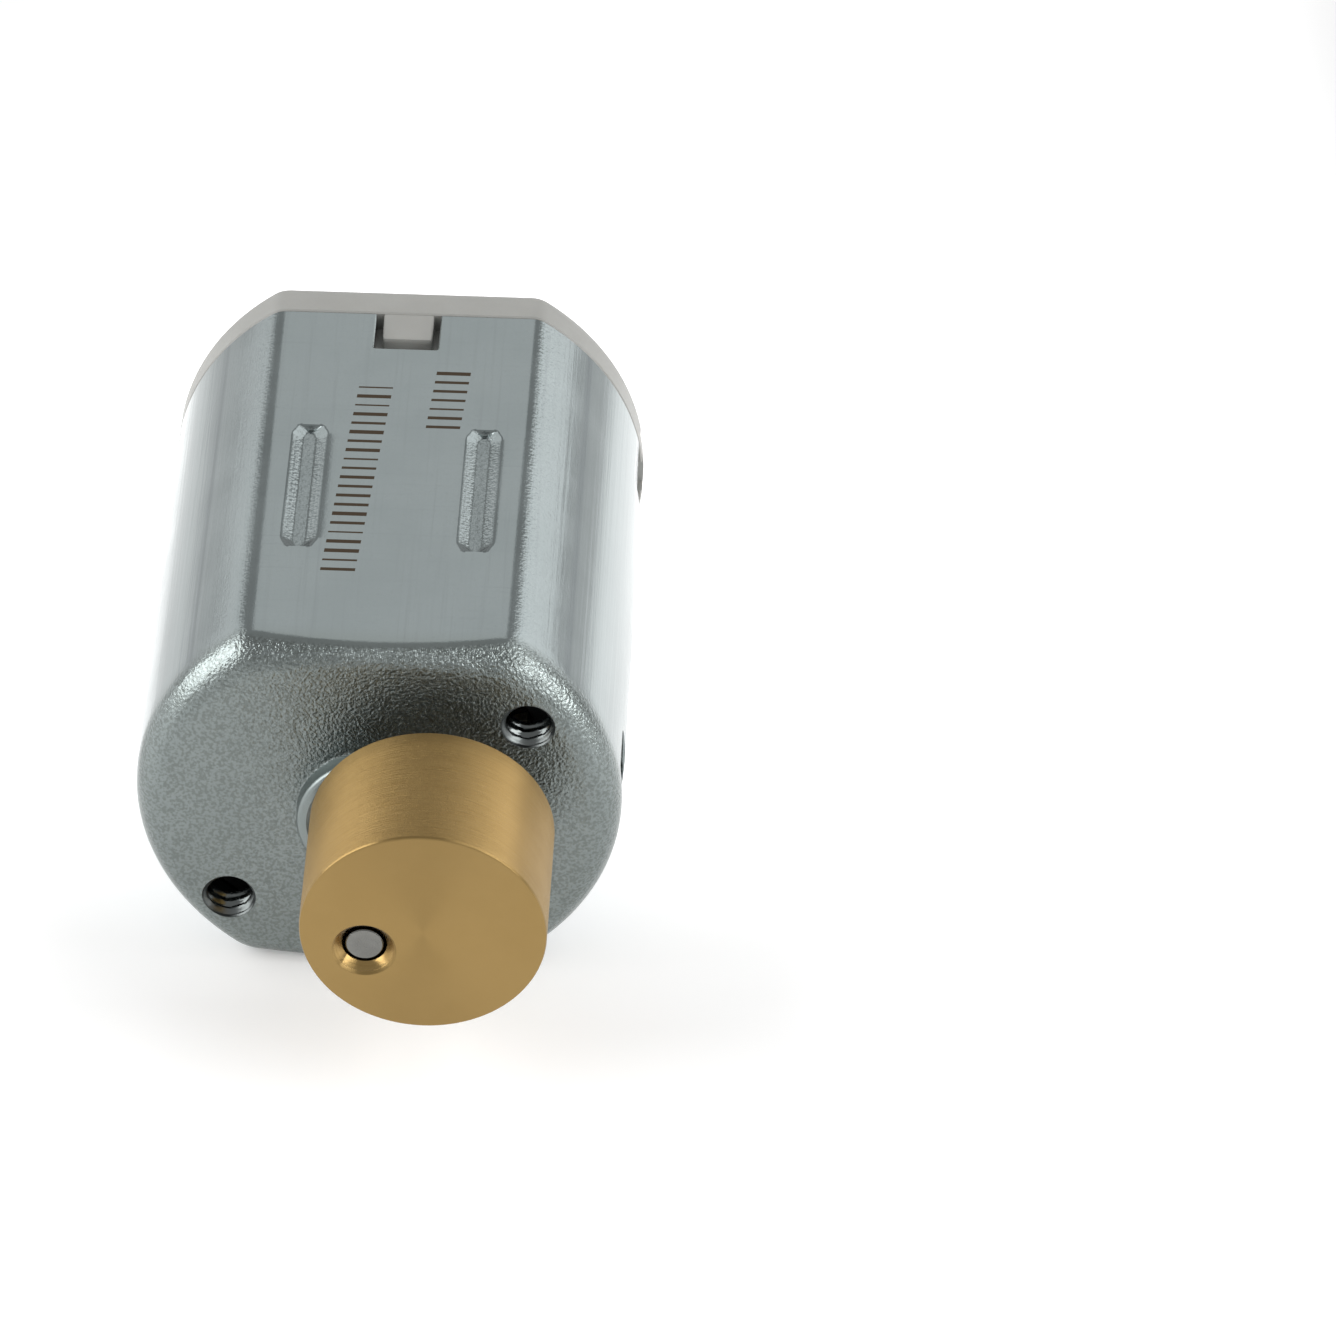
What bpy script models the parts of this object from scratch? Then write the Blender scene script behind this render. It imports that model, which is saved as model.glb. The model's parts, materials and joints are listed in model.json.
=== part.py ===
"""Flat-sided brushed DC motor, 12 x 10 x 15 mm, with a brass eccentric weight on its shaft.

The motor lies on a flat of its can. The shaft runs along Y with the weight facing -Y, +Z is up,
and the origin is the centre of the can's lower flat. Each piece is modelled about the shaft axis
(its own Y axis) and placed at the axis's height.
"""

import math

import bmesh
import bpy

MM = 0.001

# Motor case. The sections are arcs of CAN_RADIUS cut off by two flats, with rounded creases.
CAN_RADIUS = 6.0 * MM
CAN_HALF_HEIGHT = 5.0 * MM
CAN_LENGTH = 13.8 * MM
SHEET = 0.5 * MM
CORNER_RADIUS = 0.85 * MM
INNER_CORNER_RADIUS = 0.35 * MM
CREASE_RADIUS = 0.8 * MM
INNER_CREASE_RADIUS = 0.15 * MM
CAP_RIM = 1.2 * MM
CAP_EDGE_RADIUS = 0.5 * MM
AXIS_Z = CAN_HALF_HEIGHT
FIT_GAP = 0.03 * MM

FRONT = -CAN_LENGTH / 2
REAR = CAN_LENGTH / 2
CAP_FACE = REAR + CAP_RIM
INNER_RADIUS = CAN_RADIUS - SHEET
INNER_HALF_HEIGHT = CAN_HALF_HEIGHT - SHEET

# Features of the can.
BOSS_RADIUS = 1.97 * MM
BOSS_HEIGHT = 0.5 * MM
BOSS_EDGE = 0.18 * MM
TAPPED_HOLE_X = 3.71 * MM
TAPPED_HOLE_Z = 2.88 * MM
TAPPED_HOLE_RADIUS = 0.55 * MM
COLLAR_RADIUS = 0.9 * MM
COLLAR_DEPTH = 0.45 * MM
WINDOW_START = 1.0 * MM
WINDOW_LENGTH = 1.6 * MM
WINDOW_HALF_HEIGHT = 0.85 * MM
NOTCH_HALF_WIDTH = 0.82 * MM
NOTCH_DEPTH = 1.46 * MM
GROOVE_X = 2.18 * MM
GROOVE_HALF_WIDTH = 0.36 * MM
GROOVE_START = 4.2 * MM
GROOVE_END = 9.05 * MM
GROOVE_DEPTH = 0.26 * MM
GROOVE_WALL = 0.05 * MM
GROOVE_POINT = 0.7 * MM
LUG_OUTER_X = 5.88 * MM
LUG_INNER_X = 5.4 * MM
LUG_HALF_HEIGHT = 0.43 * MM
LUG_ROOT_X = 5.55 * MM
LUG_LENGTH = 0.85 * MM

# Endcap.
SPIGOT_DEPTH = 2.3 * MM
SPIGOT_BORE = 3.5 * MM
SPIGOT_FLOOR = REAR - 0.7 * MM
CAP_BOSS_RADIUS = 2.57 * MM
CAP_BOSS_HEIGHT = 1.0 * MM
CAP_BOSS_EDGE = 0.22 * MM
CAP_BOSS_WALL = 0.5 * MM
GATE_RADIUS = 0.3 * MM
GATE_DROP = 1.36 * MM
GATE_DEPTH = 0.3 * MM
MARK_X = 2.82 * MM
MARK_Z = 2.98 * MM
MARK_DEPTH = 0.16 * MM
PLUS_DISH_RADIUS = 1.0 * MM
PLUS_ARM = 0.72 * MM
PLUS_HALF_WIDTH = 0.21 * MM
DOT_DISH_RADIUS = 0.7 * MM
DOT_RADIUS = 0.24 * MM
LOWER_DISH_RADIUS = 0.82 * MM
LOWER_DISH_DROP = 3.65 * MM
POCKET_X = 4.57 * MM
POCKET_HALF_HEIGHT = 1.0 * MM
POCKET_DEPTH = 0.75 * MM
TAB_HALF_WIDTH = 0.64 * MM
TAB_LENGTH = 0.85 * MM
TAB_RECESS = 0.15 * MM
TAB_ROOT = 0.3 * MM

# Solder terminals and brushes.
TERMINAL_X = 3.735 * MM
TERMINAL_THICKNESS = 0.3 * MM
TERMINAL_REACH = 2.1 * MM
TERMINAL_TOP = 0.1 * MM
TERMINAL_BOTTOM = -0.9 * MM
TERMINAL_ROOT = 0.85 * MM
TERMINAL_INNER_END = 4.75 * MM
TERMINAL_SHOULDER = 0.25 * MM
EYELET_RADIUS = 0.3 * MM
SLOT_HALF_WIDTH = 0.22 * MM
SLOT_HALF_HEIGHT = 0.93 * MM
BRUSH_THICKNESS = 0.12 * MM
BRUSH_START = 4.0 * MM
BRUSH_WIDTH = 0.8 * MM
BRUSH_GAP = 0.04 * MM

# Bearings and magnets.
BEARING_RADIUS = 1.6 * MM
REAR_BEARING_RADIUS = 1.25 * MM
BEARING_BORE = 0.53 * MM
FRONT_BEARING = (FRONT - 0.42 * MM, FRONT + 1.2 * MM)
REAR_BEARING = (SPIGOT_FLOOR + 0.1 * MM, CAP_FACE + 0.2 * MM)
MAGNET_INNER_RADIUS = 4.15 * MM
MAGNET_HALF_ANGLE = math.radians(50)
MAGNET_LENGTH = 7.6 * MM
MAGNET_START = -5.2 * MM

# Rotor.
SHAFT_RADIUS = 0.5 * MM
SHAFT_CHAMFER = 0.08 * MM
SHAFT_REAR = CAP_FACE + 0.45 * MM
PLATE_COUNT = 10
PLATE_PITCH = 0.5 * MM
PLATE_GAP = 0.02 * MM
STACK_START = -4.1 * MM
STACK_END = STACK_START + PLATE_COUNT * PLATE_PITCH
POLE_COUNT = 3
ROTOR_RADIUS = 3.9 * MM
SHOE_INNER_RADIUS = 3.35 * MM
SHOE_HALF_ANGLE = math.radians(49)
ARM_HALF_WIDTH = 0.7 * MM
HUB_RADIUS = 1.35 * MM
INSULATOR_THICKNESS = 0.3 * MM
COIL_NEAR = 1.5 * MM
COIL_FAR = 2.65 * MM
COIL_INNER_HALF_WIDTH = 0.82 * MM
COIL_OUTER_HALF_WIDTH = 1.8 * MM
COIL_OVERHANG = 0.85 * MM
COIL_INNER_CORNER = 0.2 * MM
COIL_OUTER_CORNER = 0.7 * MM
COMMUTATOR = (2.2 * MM, 5.3 * MM)
COMMUTATOR_FLANGE = 0.3 * MM
COMMUTATOR_HUB_RADIUS = 0.95 * MM
SEGMENT_RADIUS = 1.2 * MM
SEGMENT_HALF_ANGLE = math.radians(56)
SEGMENT_END_GAP = 0.15 * MM
RING_RADIUS = 1.55 * MM
RING_WIDTH = 0.35 * MM
WASHER_RADIUS = 1.0 * MM
WASHER_THICKNESS = 0.2 * MM
WASHER_GAP = 0.06 * MM

# Eccentric weight, seen from the front: its centre lies right of the shaft and a little above it.
WEIGHT_RADIUS = 3.0 * MM
WEIGHT_OFFSET_X = 1.43 * MM
WEIGHT_OFFSET_Z = 0.615 * MM
WEIGHT_CLEARANCE = 1.2 * MM
WEIGHT_LENGTH = 4.0 * MM
WEIGHT_CHAMFER = 0.07 * MM
COUNTERSINK_RADIUS = 0.78 * MM
COUNTERSINK_DEPTH = 0.24 * MM
SHAFT_RECESS = 0.22 * MM

ARC_STEPS = 18
CREASE_STEPS = 3
ROUND_STEPS = 40
WEIGHT_STEPS = 48
SMALL_ROUND_STEPS = 20
CORNER_STEPS = 4
SEGMENT_STEPS = 8
OVERSHOOT = 0.5 * MM


def clear_scene():
    for item in list(bpy.data.objects):
        bpy.data.objects.remove(item, do_unlink=True)


def make_material(name, color, roughness, metallic):
    material = bpy.data.materials.new(name)
    material.use_nodes = True
    shader = material.node_tree.nodes["Principled BSDF"]
    shader.inputs["Base Color"].default_value = (*color, 1.0)
    shader.inputs["Roughness"].default_value = roughness
    shader.inputs["Metallic"].default_value = metallic
    return material


def make_object(name, bm, material=None):
    """An object on the shaft axis from a finished bmesh, with its faces turned outwards."""
    bmesh.ops.recalc_face_normals(bm, faces=bm.faces)
    mesh = bpy.data.meshes.new(name)
    bm.to_mesh(mesh)
    bm.free()
    mesh.shade_smooth()
    mesh.set_sharp_from_angle(angle=math.radians(35))
    piece = bpy.data.objects.new(name, mesh)
    piece.location.z = AXIS_Z
    bpy.context.scene.collection.objects.link(piece)
    if material:
        mesh.materials.append(material)
    else:
        piece.hide_render = True
        piece.display_type = "WIRE"
    return piece


def add_boolean(piece, helper, operation):
    modifier = piece.modifiers.new(f"{operation.lower()} {helper.name}", "BOOLEAN")
    modifier.operation = operation
    modifier.solver = "EXACT"
    modifier.object = helper


def arc(radius, start, end, steps, x=0.0, z=0.0):
    """Points on an arc about (x, z), both ends included."""
    angles = [start + (end - start) * step / steps for step in range(steps + 1)]
    return [(x + radius * math.cos(angle), z + radius * math.sin(angle)) for angle in angles]


def circle(radius, steps, x=0.0, z=0.0):
    return arc(radius, 0.0, 2 * math.pi, steps, x, z)[:-1]


def flat_sided(radius, half_height, crease=CREASE_RADIUS):
    """The case's section: two arcs of the radius, joined to the two flats by rounded creases."""
    z = half_height - crease
    x = math.sqrt((radius - crease) ** 2 - z**2)
    reach = math.atan2(z, x)
    half = arc(crease, -math.pi / 2, -reach, CREASE_STEPS, x, -z)
    half += arc(radius, -reach, reach, ARC_STEPS)[1:-1]
    half += arc(crease, reach, math.pi / 2, CREASE_STEPS, x, z)
    return half + [(-x, -z) for x, z in half]


def rectangle(x0, x1, z0, z1):
    return [(x0, z0), (x1, z0), (x1, z1), (x0, z1)]


def in_space(axis, along, u, v):
    """A point from its place along the X or Y axis and its two coordinates across it."""
    return (along, u, v) if axis == "X" else (u, along, v)


def add_loft(bm, sections, axis="Y"):
    """A closed body through (place along the axis, outline) sections of equal length."""
    rings = [[bm.verts.new(in_space(axis, along, u, v)) for u, v in outline] for along, outline in sections]
    bm.faces.new(rings[0])
    bm.faces.new(list(reversed(rings[-1])))
    for first, second in zip(rings, rings[1:]):
        count = len(first)
        for i in range(count):
            j = (i + 1) % count
            bm.faces.new((first[i], second[i], second[j], first[j]))


def add_prism(bm, outline, start, end):
    add_loft(bm, [(start, outline), (end, outline)])


def add_rounded_disc(bm, start, end, radius, edge):
    """A disc from start to end, with the edge of its end face broken in two steps."""
    towards = edge if end > start else -edge
    sections = [(start, radius), (end - towards, radius)]
    sections += [(end - 0.3 * towards, radius - 0.3 * edge), (end, radius - edge)]
    add_loft(bm, [(y, circle(r, ROUND_STEPS)) for y, r in sections])


def add_turned_ring(bm, profile, steps):
    """A body turned about the shaft axis from a closed profile of (y, radius), hollow inside."""
    rings = []
    for step in range(steps):
        angle = 2 * math.pi * step / steps
        cosine, sine = math.cos(angle), math.sin(angle)
        rings.append([bm.verts.new((r * cosine, y, r * sine)) for y, r in profile])
    for i, ring in enumerate(rings):
        following = rings[(i + 1) % steps]
        for a in range(len(profile)):
            b = (a + 1) % len(profile)
            bm.faces.new((ring[a], ring[b], following[b], following[a]))


def prisms(name, shapes, material=None):
    """One object from (outline, start, end) prisms that don't overlap."""
    bm = bmesh.new()
    for outline, start, end in shapes:
        add_prism(bm, outline, start, end)
    return make_object(name, bm, material)


def turned_ring(name, profile, steps, material=None):
    bm = bmesh.new()
    add_turned_ring(bm, profile, steps)
    return make_object(name, bm, material)


def tube_profile(start, end, inner, outer):
    return [(start, inner), (start, outer), (end, outer), (end, inner)]


def rounded_front(radius, half_height, crease, start, corner, steps=CORNER_STEPS):
    """Sections of a case front whose edge is rounded, from the face back to the full section."""
    sections = []
    for step in range(steps + 1):
        angle = math.pi / 2 * step / steps
        inset = corner * (1 - math.sin(angle))
        y = start + corner * (1 - math.cos(angle))
        sections.append((y, flat_sided(radius - inset, half_height - inset, crease)))
    return sections


def add_groove(bm, x, surface, outward, half_width):
    """A wedge for a pressed groove: shallow at its front end, full depth at its pointed rear end."""
    start, end = FRONT + GROOVE_START, FRONT + GROOVE_END
    shoulder = end - GROOVE_POINT
    outer = surface + outward * OVERSHOOT / 2
    sections = []
    for y, width_share, depth_share in ((start, 1.0, 0.15), (shoulder, 1.0, 0.95), (end, 0.6, 1.0)):
        half = half_width * width_share
        floor = surface - outward * GROOVE_DEPTH * depth_share
        sections.append((y, rectangle(x - half, x + half, floor, outer)))
    add_loft(bm, sections)


def make_can(material):
    """Deep-drawn steel can, open at the rear, with its bearing boss, holes, notches and lugs."""
    bm = bmesh.new()
    outside = rounded_front(CAN_RADIUS, CAN_HALF_HEIGHT, CREASE_RADIUS, FRONT, CORNER_RADIUS)
    outside.append((REAR, flat_sided(CAN_RADIUS, CAN_HALF_HEIGHT)))
    inside = rounded_front(
        INNER_RADIUS, INNER_HALF_HEIGHT, INNER_CREASE_RADIUS, FRONT + SHEET, INNER_CORNER_RADIUS, 2
    )
    inside.append((REAR, flat_sided(INNER_RADIUS, INNER_HALF_HEIGHT, INNER_CREASE_RADIUS)))
    add_loft(bm, outside + inside[::-1])
    can = make_object("can", bm, material)
    add_boolean(can, make_can_additions(), "UNION")
    add_boolean(can, make_can_cuts(), "DIFFERENCE")
    return can


def make_can_additions():
    """Boss, collars around the tapped holes, lugs and the inner sides of the pressed grooves."""
    bm = bmesh.new()
    add_rounded_disc(bm, FRONT + SHEET / 2, FRONT - BOSS_HEIGHT, BOSS_RADIUS, BOSS_EDGE)
    for side in (1, -1):
        collar = circle(COLLAR_RADIUS, SMALL_ROUND_STEPS, side * TAPPED_HOLE_X, side * TAPPED_HOLE_Z)
        add_prism(bm, collar, FRONT + SHEET / 2, FRONT + SHEET + COLLAR_DEPTH)
        root, lug = (
            rectangle(side * inner_x, side * LUG_OUTER_X, -LUG_HALF_HEIGHT, LUG_HALF_HEIGHT)
            for inner_x in (LUG_ROOT_X, LUG_INNER_X)
        )
        add_loft(bm, [(REAR - SHEET, root), (REAR, lug), (REAR + LUG_LENGTH, lug)])
        for x in (-GROOVE_X, GROOVE_X):
            add_groove(bm, x, side * INNER_HALF_HEIGHT, side, GROOVE_HALF_WIDTH)
    return make_object("can_additions", bm)


def make_can_cuts():
    """Bearing bore, tapped holes, side windows, rear notches and the outer sides of the grooves."""
    bm = bmesh.new()
    add_prism(
        bm,
        circle(BEARING_RADIUS + FIT_GAP, ROUND_STEPS),
        FRONT - BOSS_HEIGHT - OVERSHOOT,
        FRONT + SHEET + OVERSHOOT,
    )
    for side in (1, -1):
        hole = circle(
            TAPPED_HOLE_RADIUS, SMALL_ROUND_STEPS, side * TAPPED_HOLE_X, side * TAPPED_HOLE_Z
        )
        add_prism(bm, hole, FRONT - OVERSHOOT, FRONT + SHEET + COLLAR_DEPTH + OVERSHOOT)
        inside, outside = side * (INNER_RADIUS - OVERSHOOT), side * (CAN_RADIUS + OVERSHOOT)
        window = rectangle(inside, outside, -WINDOW_HALF_HEIGHT, WINDOW_HALF_HEIGHT)
        window_start = FRONT + WINDOW_START
        add_prism(bm, window, window_start, window_start + WINDOW_LENGTH)
        below, above = side * (INNER_HALF_HEIGHT - OVERSHOOT), side * (CAN_HALF_HEIGHT + OVERSHOOT)
        notch = rectangle(-NOTCH_HALF_WIDTH, NOTCH_HALF_WIDTH, below, above)
        add_prism(bm, notch, REAR - NOTCH_DEPTH, REAR + OVERSHOOT)
        for x in (-GROOVE_X, GROOVE_X):
            add_groove(bm, x, side * CAN_HALF_HEIGHT, side, GROOVE_HALF_WIDTH - GROOVE_WALL)
    return make_object("can_cuts", bm)


def make_endcap(material):
    """Moulded cap: rim flush with the can, spigot inside it, bearing boss and locating tabs."""
    bm = bmesh.new()
    edge = rounded_front(CAN_RADIUS, CAN_HALF_HEIGHT, CREASE_RADIUS, 0.0, CAP_EDGE_RADIUS)
    sections = [(CAP_FACE - y, outline) for y, outline in edge]
    sections.append((REAR + FIT_GAP, flat_sided(CAN_RADIUS, CAN_HALF_HEIGHT)))
    spigot = flat_sided(INNER_RADIUS - FIT_GAP, INNER_HALF_HEIGHT - FIT_GAP, INNER_CREASE_RADIUS)
    sections.append((REAR + FIT_GAP, spigot))
    sections.append((REAR - SPIGOT_DEPTH, spigot))
    add_loft(bm, sections)
    endcap = make_object("endcap", bm, material)
    add_boolean(endcap, make_cap_boss(), "UNION")
    add_boolean(endcap, make_cap_cuts(), "DIFFERENCE")
    add_boolean(endcap, make_cap_marks(), "UNION")
    return endcap


def make_cap_boss():
    """The closed bearing boss on the rear face, and the tabs that sit in the can's notches."""
    bm = bmesh.new()
    add_rounded_disc(
        bm, CAP_FACE - OVERSHOOT, CAP_FACE + CAP_BOSS_HEIGHT, CAP_BOSS_RADIUS, CAP_BOSS_EDGE
    )
    for side in (1, -1):
        below, above = side * (INNER_HALF_HEIGHT - TAB_ROOT), side * (CAN_HALF_HEIGHT - TAB_RECESS)
        tab = rectangle(-TAB_HALF_WIDTH, TAB_HALF_WIDTH, below, above)
        add_prism(bm, tab, REAR - TAB_LENGTH, REAR + TAB_ROOT)
    return make_object("cap_boss", bm)


def make_cap_cuts():
    """Brush chamber, bearing seat, gate mark, dishes, lug pockets and terminal slots."""
    bm = bmesh.new()
    seat = REAR_BEARING_RADIUS + FIT_GAP
    add_loft(
        bm,
        [
            (REAR - SPIGOT_DEPTH - OVERSHOOT, circle(SPIGOT_BORE, ROUND_STEPS)),
            (SPIGOT_FLOOR, circle(SPIGOT_BORE, ROUND_STEPS)),
            (SPIGOT_FLOOR, circle(seat, ROUND_STEPS)),
            (CAP_FACE + CAP_BOSS_HEIGHT - CAP_BOSS_WALL, circle(seat, ROUND_STEPS)),
        ],
    )
    boss_face = CAP_FACE + CAP_BOSS_HEIGHT
    gate = circle(GATE_RADIUS, SMALL_ROUND_STEPS, 0, -GATE_DROP)
    add_prism(bm, gate, boss_face - GATE_DEPTH, boss_face + OVERSHOOT)
    dishes = (
        (PLUS_DISH_RADIUS, MARK_X, MARK_Z),
        (DOT_DISH_RADIUS, -MARK_X, MARK_Z),
        (LOWER_DISH_RADIUS, 0, -LOWER_DISH_DROP),
    )
    for radius, x, z in dishes:
        dish = circle(radius, SMALL_ROUND_STEPS, x, z)
        add_prism(bm, dish, CAP_FACE - MARK_DEPTH, CAP_FACE + MARK_DEPTH)
    for side in (1, -1):
        beyond = side * (CAN_RADIUS + OVERSHOOT)
        pocket = rectangle(side * POCKET_X, beyond, -POCKET_HALF_HEIGHT, POCKET_HALF_HEIGHT)
        add_prism(bm, pocket, CAP_FACE - POCKET_DEPTH, CAP_FACE + OVERSHOOT)
        half = LUG_HALF_HEIGHT + FIT_GAP
        lug_way = rectangle(side * (LUG_INNER_X - FIT_GAP), beyond, -half, half)
        add_prism(bm, lug_way, REAR - 2 * OVERSHOOT, CAP_FACE - POCKET_DEPTH - 0.01 * MM)
        x = side * TERMINAL_X
        slot = rectangle(
            x - SLOT_HALF_WIDTH, x + SLOT_HALF_WIDTH, -SLOT_HALF_HEIGHT, SLOT_HALF_HEIGHT
        )
        add_prism(bm, slot, REAR - SPIGOT_DEPTH - OVERSHOOT / 2, CAP_FACE + OVERSHOOT)
    return make_object("cap_cuts", bm)


def make_cap_marks():
    """The raised plus sign and the raised dot in their dishes."""
    bm = bmesh.new()
    w, a = PLUS_HALF_WIDTH, PLUS_ARM
    plus = [(-w, -a), (w, -a), (w, -w), (a, -w), (a, w), (w, w)]
    plus += [(-x, -z) for x, z in plus]
    plus = [(MARK_X + x, MARK_Z + z) for x, z in plus]
    dot = circle(DOT_RADIUS, SMALL_ROUND_STEPS, -MARK_X, MARK_Z)
    for outline in (plus, dot):
        add_prism(bm, outline, CAP_FACE - 2 * MARK_DEPTH, CAP_FACE - 0.1 * MARK_DEPTH)
    return make_object("cap_marks", bm)


def make_terminal(name, side, material):
    """Stamped terminal: a tall root in the endcap's slot and a lower blade with an eyelet outside."""
    middle = (TERMINAL_TOP + TERMINAL_BOTTOM) / 2
    half = (TERMINAL_TOP - TERMINAL_BOTTOM) / 2
    shoulder = CAP_FACE - TERMINAL_SHOULDER
    tip_y = CAP_FACE + TERMINAL_REACH - half
    plan = [(TERMINAL_INNER_END, -TERMINAL_ROOT), (shoulder, -TERMINAL_ROOT)]
    plan.append((shoulder, TERMINAL_BOTTOM))
    plan += arc(half, -math.pi / 2, math.pi / 2, 8, tip_y, middle)
    plan += [(shoulder, TERMINAL_TOP), (shoulder, TERMINAL_ROOT), (TERMINAL_INNER_END, TERMINAL_ROOT)]
    x = side * TERMINAL_X
    bm = bmesh.new()
    half_thickness = TERMINAL_THICKNESS / 2
    add_loft(bm, [(x - half_thickness, plan), (x + half_thickness, plan)], "X")
    terminal = make_object(name, bm, material)
    bm = bmesh.new()
    eyelet = circle(EYELET_RADIUS, SMALL_ROUND_STEPS, tip_y, middle)
    add_loft(bm, [(x - TERMINAL_THICKNESS, eyelet), (x + TERMINAL_THICKNESS, eyelet)], "X")
    add_boolean(terminal, make_object(f"{name}_eyelet", bm), "DIFFERENCE")
    return terminal


def strip_outline(line, thickness):
    """The outline of a bent strip whose one face follows the line, with mitred bends."""
    offset = []
    for i, (x, z) in enumerate(line):
        before = line[max(i - 1, 0)]
        after = line[min(i + 1, len(line) - 1)]
        along_x, along_z = after[0] - before[0], after[1] - before[1]
        length = math.hypot(along_x, along_z)
        offset.append((x - thickness * along_z / length, z + thickness * along_x / length))
    return line + offset[::-1]


def make_brush(name, side, material):
    """Leaf spring from beside the terminal's root to the commutator, bent round its side."""
    contact = SEGMENT_RADIUS + BRUSH_GAP
    line = [
        (TERMINAL_X - TERMINAL_THICKNESS / 2 - FIT_GAP, 0.8 * MM),
        (contact + 0.5 * MM, 0.7 * MM),
        (contact, 0.35 * MM),
        (contact, -0.35 * MM),
        (contact + 0.3 * MM, -0.75 * MM),
    ]
    outline = [(side * x, z) for x, z in strip_outline(line, BRUSH_THICKNESS)]
    return prisms(name, [(outline, BRUSH_START, BRUSH_START + BRUSH_WIDTH)], material)


def make_magnet(name, side, material):
    """Arc magnet against the curved wall of the can."""
    outer = INNER_RADIUS - FIT_GAP
    outline = arc(outer, -MAGNET_HALF_ANGLE, MAGNET_HALF_ANGLE, ARC_STEPS)
    outline += arc(MAGNET_INNER_RADIUS, MAGNET_HALF_ANGLE, -MAGNET_HALF_ANGLE, ARC_STEPS)
    outline = [(side * x, z) for x, z in outline]
    return prisms(name, [(outline, MAGNET_START, MAGNET_START + MAGNET_LENGTH)], material)


def pole_outline(radius, shoe_half_angle):
    """Three-pole section: a hub, three straight arms and three arc-shaped shoes."""
    points = []
    root = math.asin(ARM_HALF_WIDTH / HUB_RADIUS)
    neck = math.asin(ARM_HALF_WIDTH / SHOE_INNER_RADIUS)
    for pole in range(POLE_COUNT):
        middle = math.pi / 2 + 2 * math.pi * pole / POLE_COUNT
        polar = [(HUB_RADIUS, -root), (SHOE_INNER_RADIUS, -neck)]
        polar += [(SHOE_INNER_RADIUS, -shoe_half_angle)]
        for step in range(11):
            polar.append((radius, shoe_half_angle * (step / 5 - 1)))
        polar += [(SHOE_INNER_RADIUS, shoe_half_angle), (SHOE_INNER_RADIUS, neck)]
        polar += [(HUB_RADIUS, root)]
        points += [(r * math.cos(middle + a), r * math.sin(middle + a)) for r, a in polar]
    return points


def make_core(steel, plastic):
    """The stack of laminations between two slot insulators, all bored for the shaft."""
    shaft_way = prisms(
        "shaft_way",
        [(circle(SHAFT_RADIUS + FIT_GAP, SMALL_ROUND_STEPS), STACK_START - MM, STACK_END + MM)],
    )
    pieces = []
    for plate in range(PLATE_COUNT):
        start = STACK_START + plate * PLATE_PITCH
        shape = (pole_outline(ROTOR_RADIUS, SHOE_HALF_ANGLE), start, start + PLATE_PITCH - PLATE_GAP)
        pieces.append(prisms(f"lamination_{plate + 1:02d}", [shape], steel))
    insulator = pole_outline(ROTOR_RADIUS - 0.15 * MM, SHOE_HALF_ANGLE - math.radians(2))
    front_end = STACK_START - PLATE_GAP
    rear_start = STACK_END
    pieces.append(
        prisms("insulator_front", [(insulator, front_end - INSULATOR_THICKNESS, front_end)], plastic)
    )
    pieces.append(
        prisms("insulator_rear", [(insulator, rear_start, rear_start + INSULATOR_THICKNESS)], plastic)
    )
    for piece in pieces:
        add_boolean(piece, shaft_way, "DIFFERENCE")
    return pieces


def racetrack(half_width, half_length, corner):
    """Rounded rectangle as (across, along) points, four steps to a corner."""
    points = []
    for quarter, (sx, sy) in enumerate(((1, 1), (-1, 1), (-1, -1), (1, -1))):
        for step in range(5):
            angle = math.pi / 2 * (quarter + step / 4)
            points.append(
                (
                    sx * (half_width - corner) + corner * math.cos(angle),
                    sy * (half_length - corner) + corner * math.sin(angle),
                )
            )
    return points


def make_winding(name, pole, material):
    """One coil as a closed ring around its pole's arm, over both slot insulators."""
    middle_y = (STACK_START + STACK_END) / 2
    inner_length = (STACK_END - STACK_START) / 2 + INSULATOR_THICKNESS + 2 * FIT_GAP
    inner = racetrack(COIL_INNER_HALF_WIDTH, inner_length, COIL_INNER_CORNER)
    outer = racetrack(COIL_OUTER_HALF_WIDTH, inner_length + COIL_OVERHANG, COIL_OUTER_CORNER)
    angle = math.pi / 2 + 2 * math.pi * pole / POLE_COUNT
    cosine, sine = math.cos(angle), math.sin(angle)
    bm = bmesh.new()
    rings = []
    for loop, distance in ((inner, COIL_NEAR), (outer, COIL_NEAR), (outer, COIL_FAR), (inner, COIL_FAR)):
        ring = []
        for across, along in loop:
            x = distance * cosine - across * sine
            z = distance * sine + across * cosine
            ring.append(bm.verts.new((x, middle_y + along, z)))
        rings.append(ring)
    for first, second in zip(rings, rings[1:] + rings[:1]):
        for i in range(len(first)):
            j = (i + 1) % len(first)
            bm.faces.new((first[i], first[j], second[j], second[i]))
    return make_object(name, bm, material)


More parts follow.
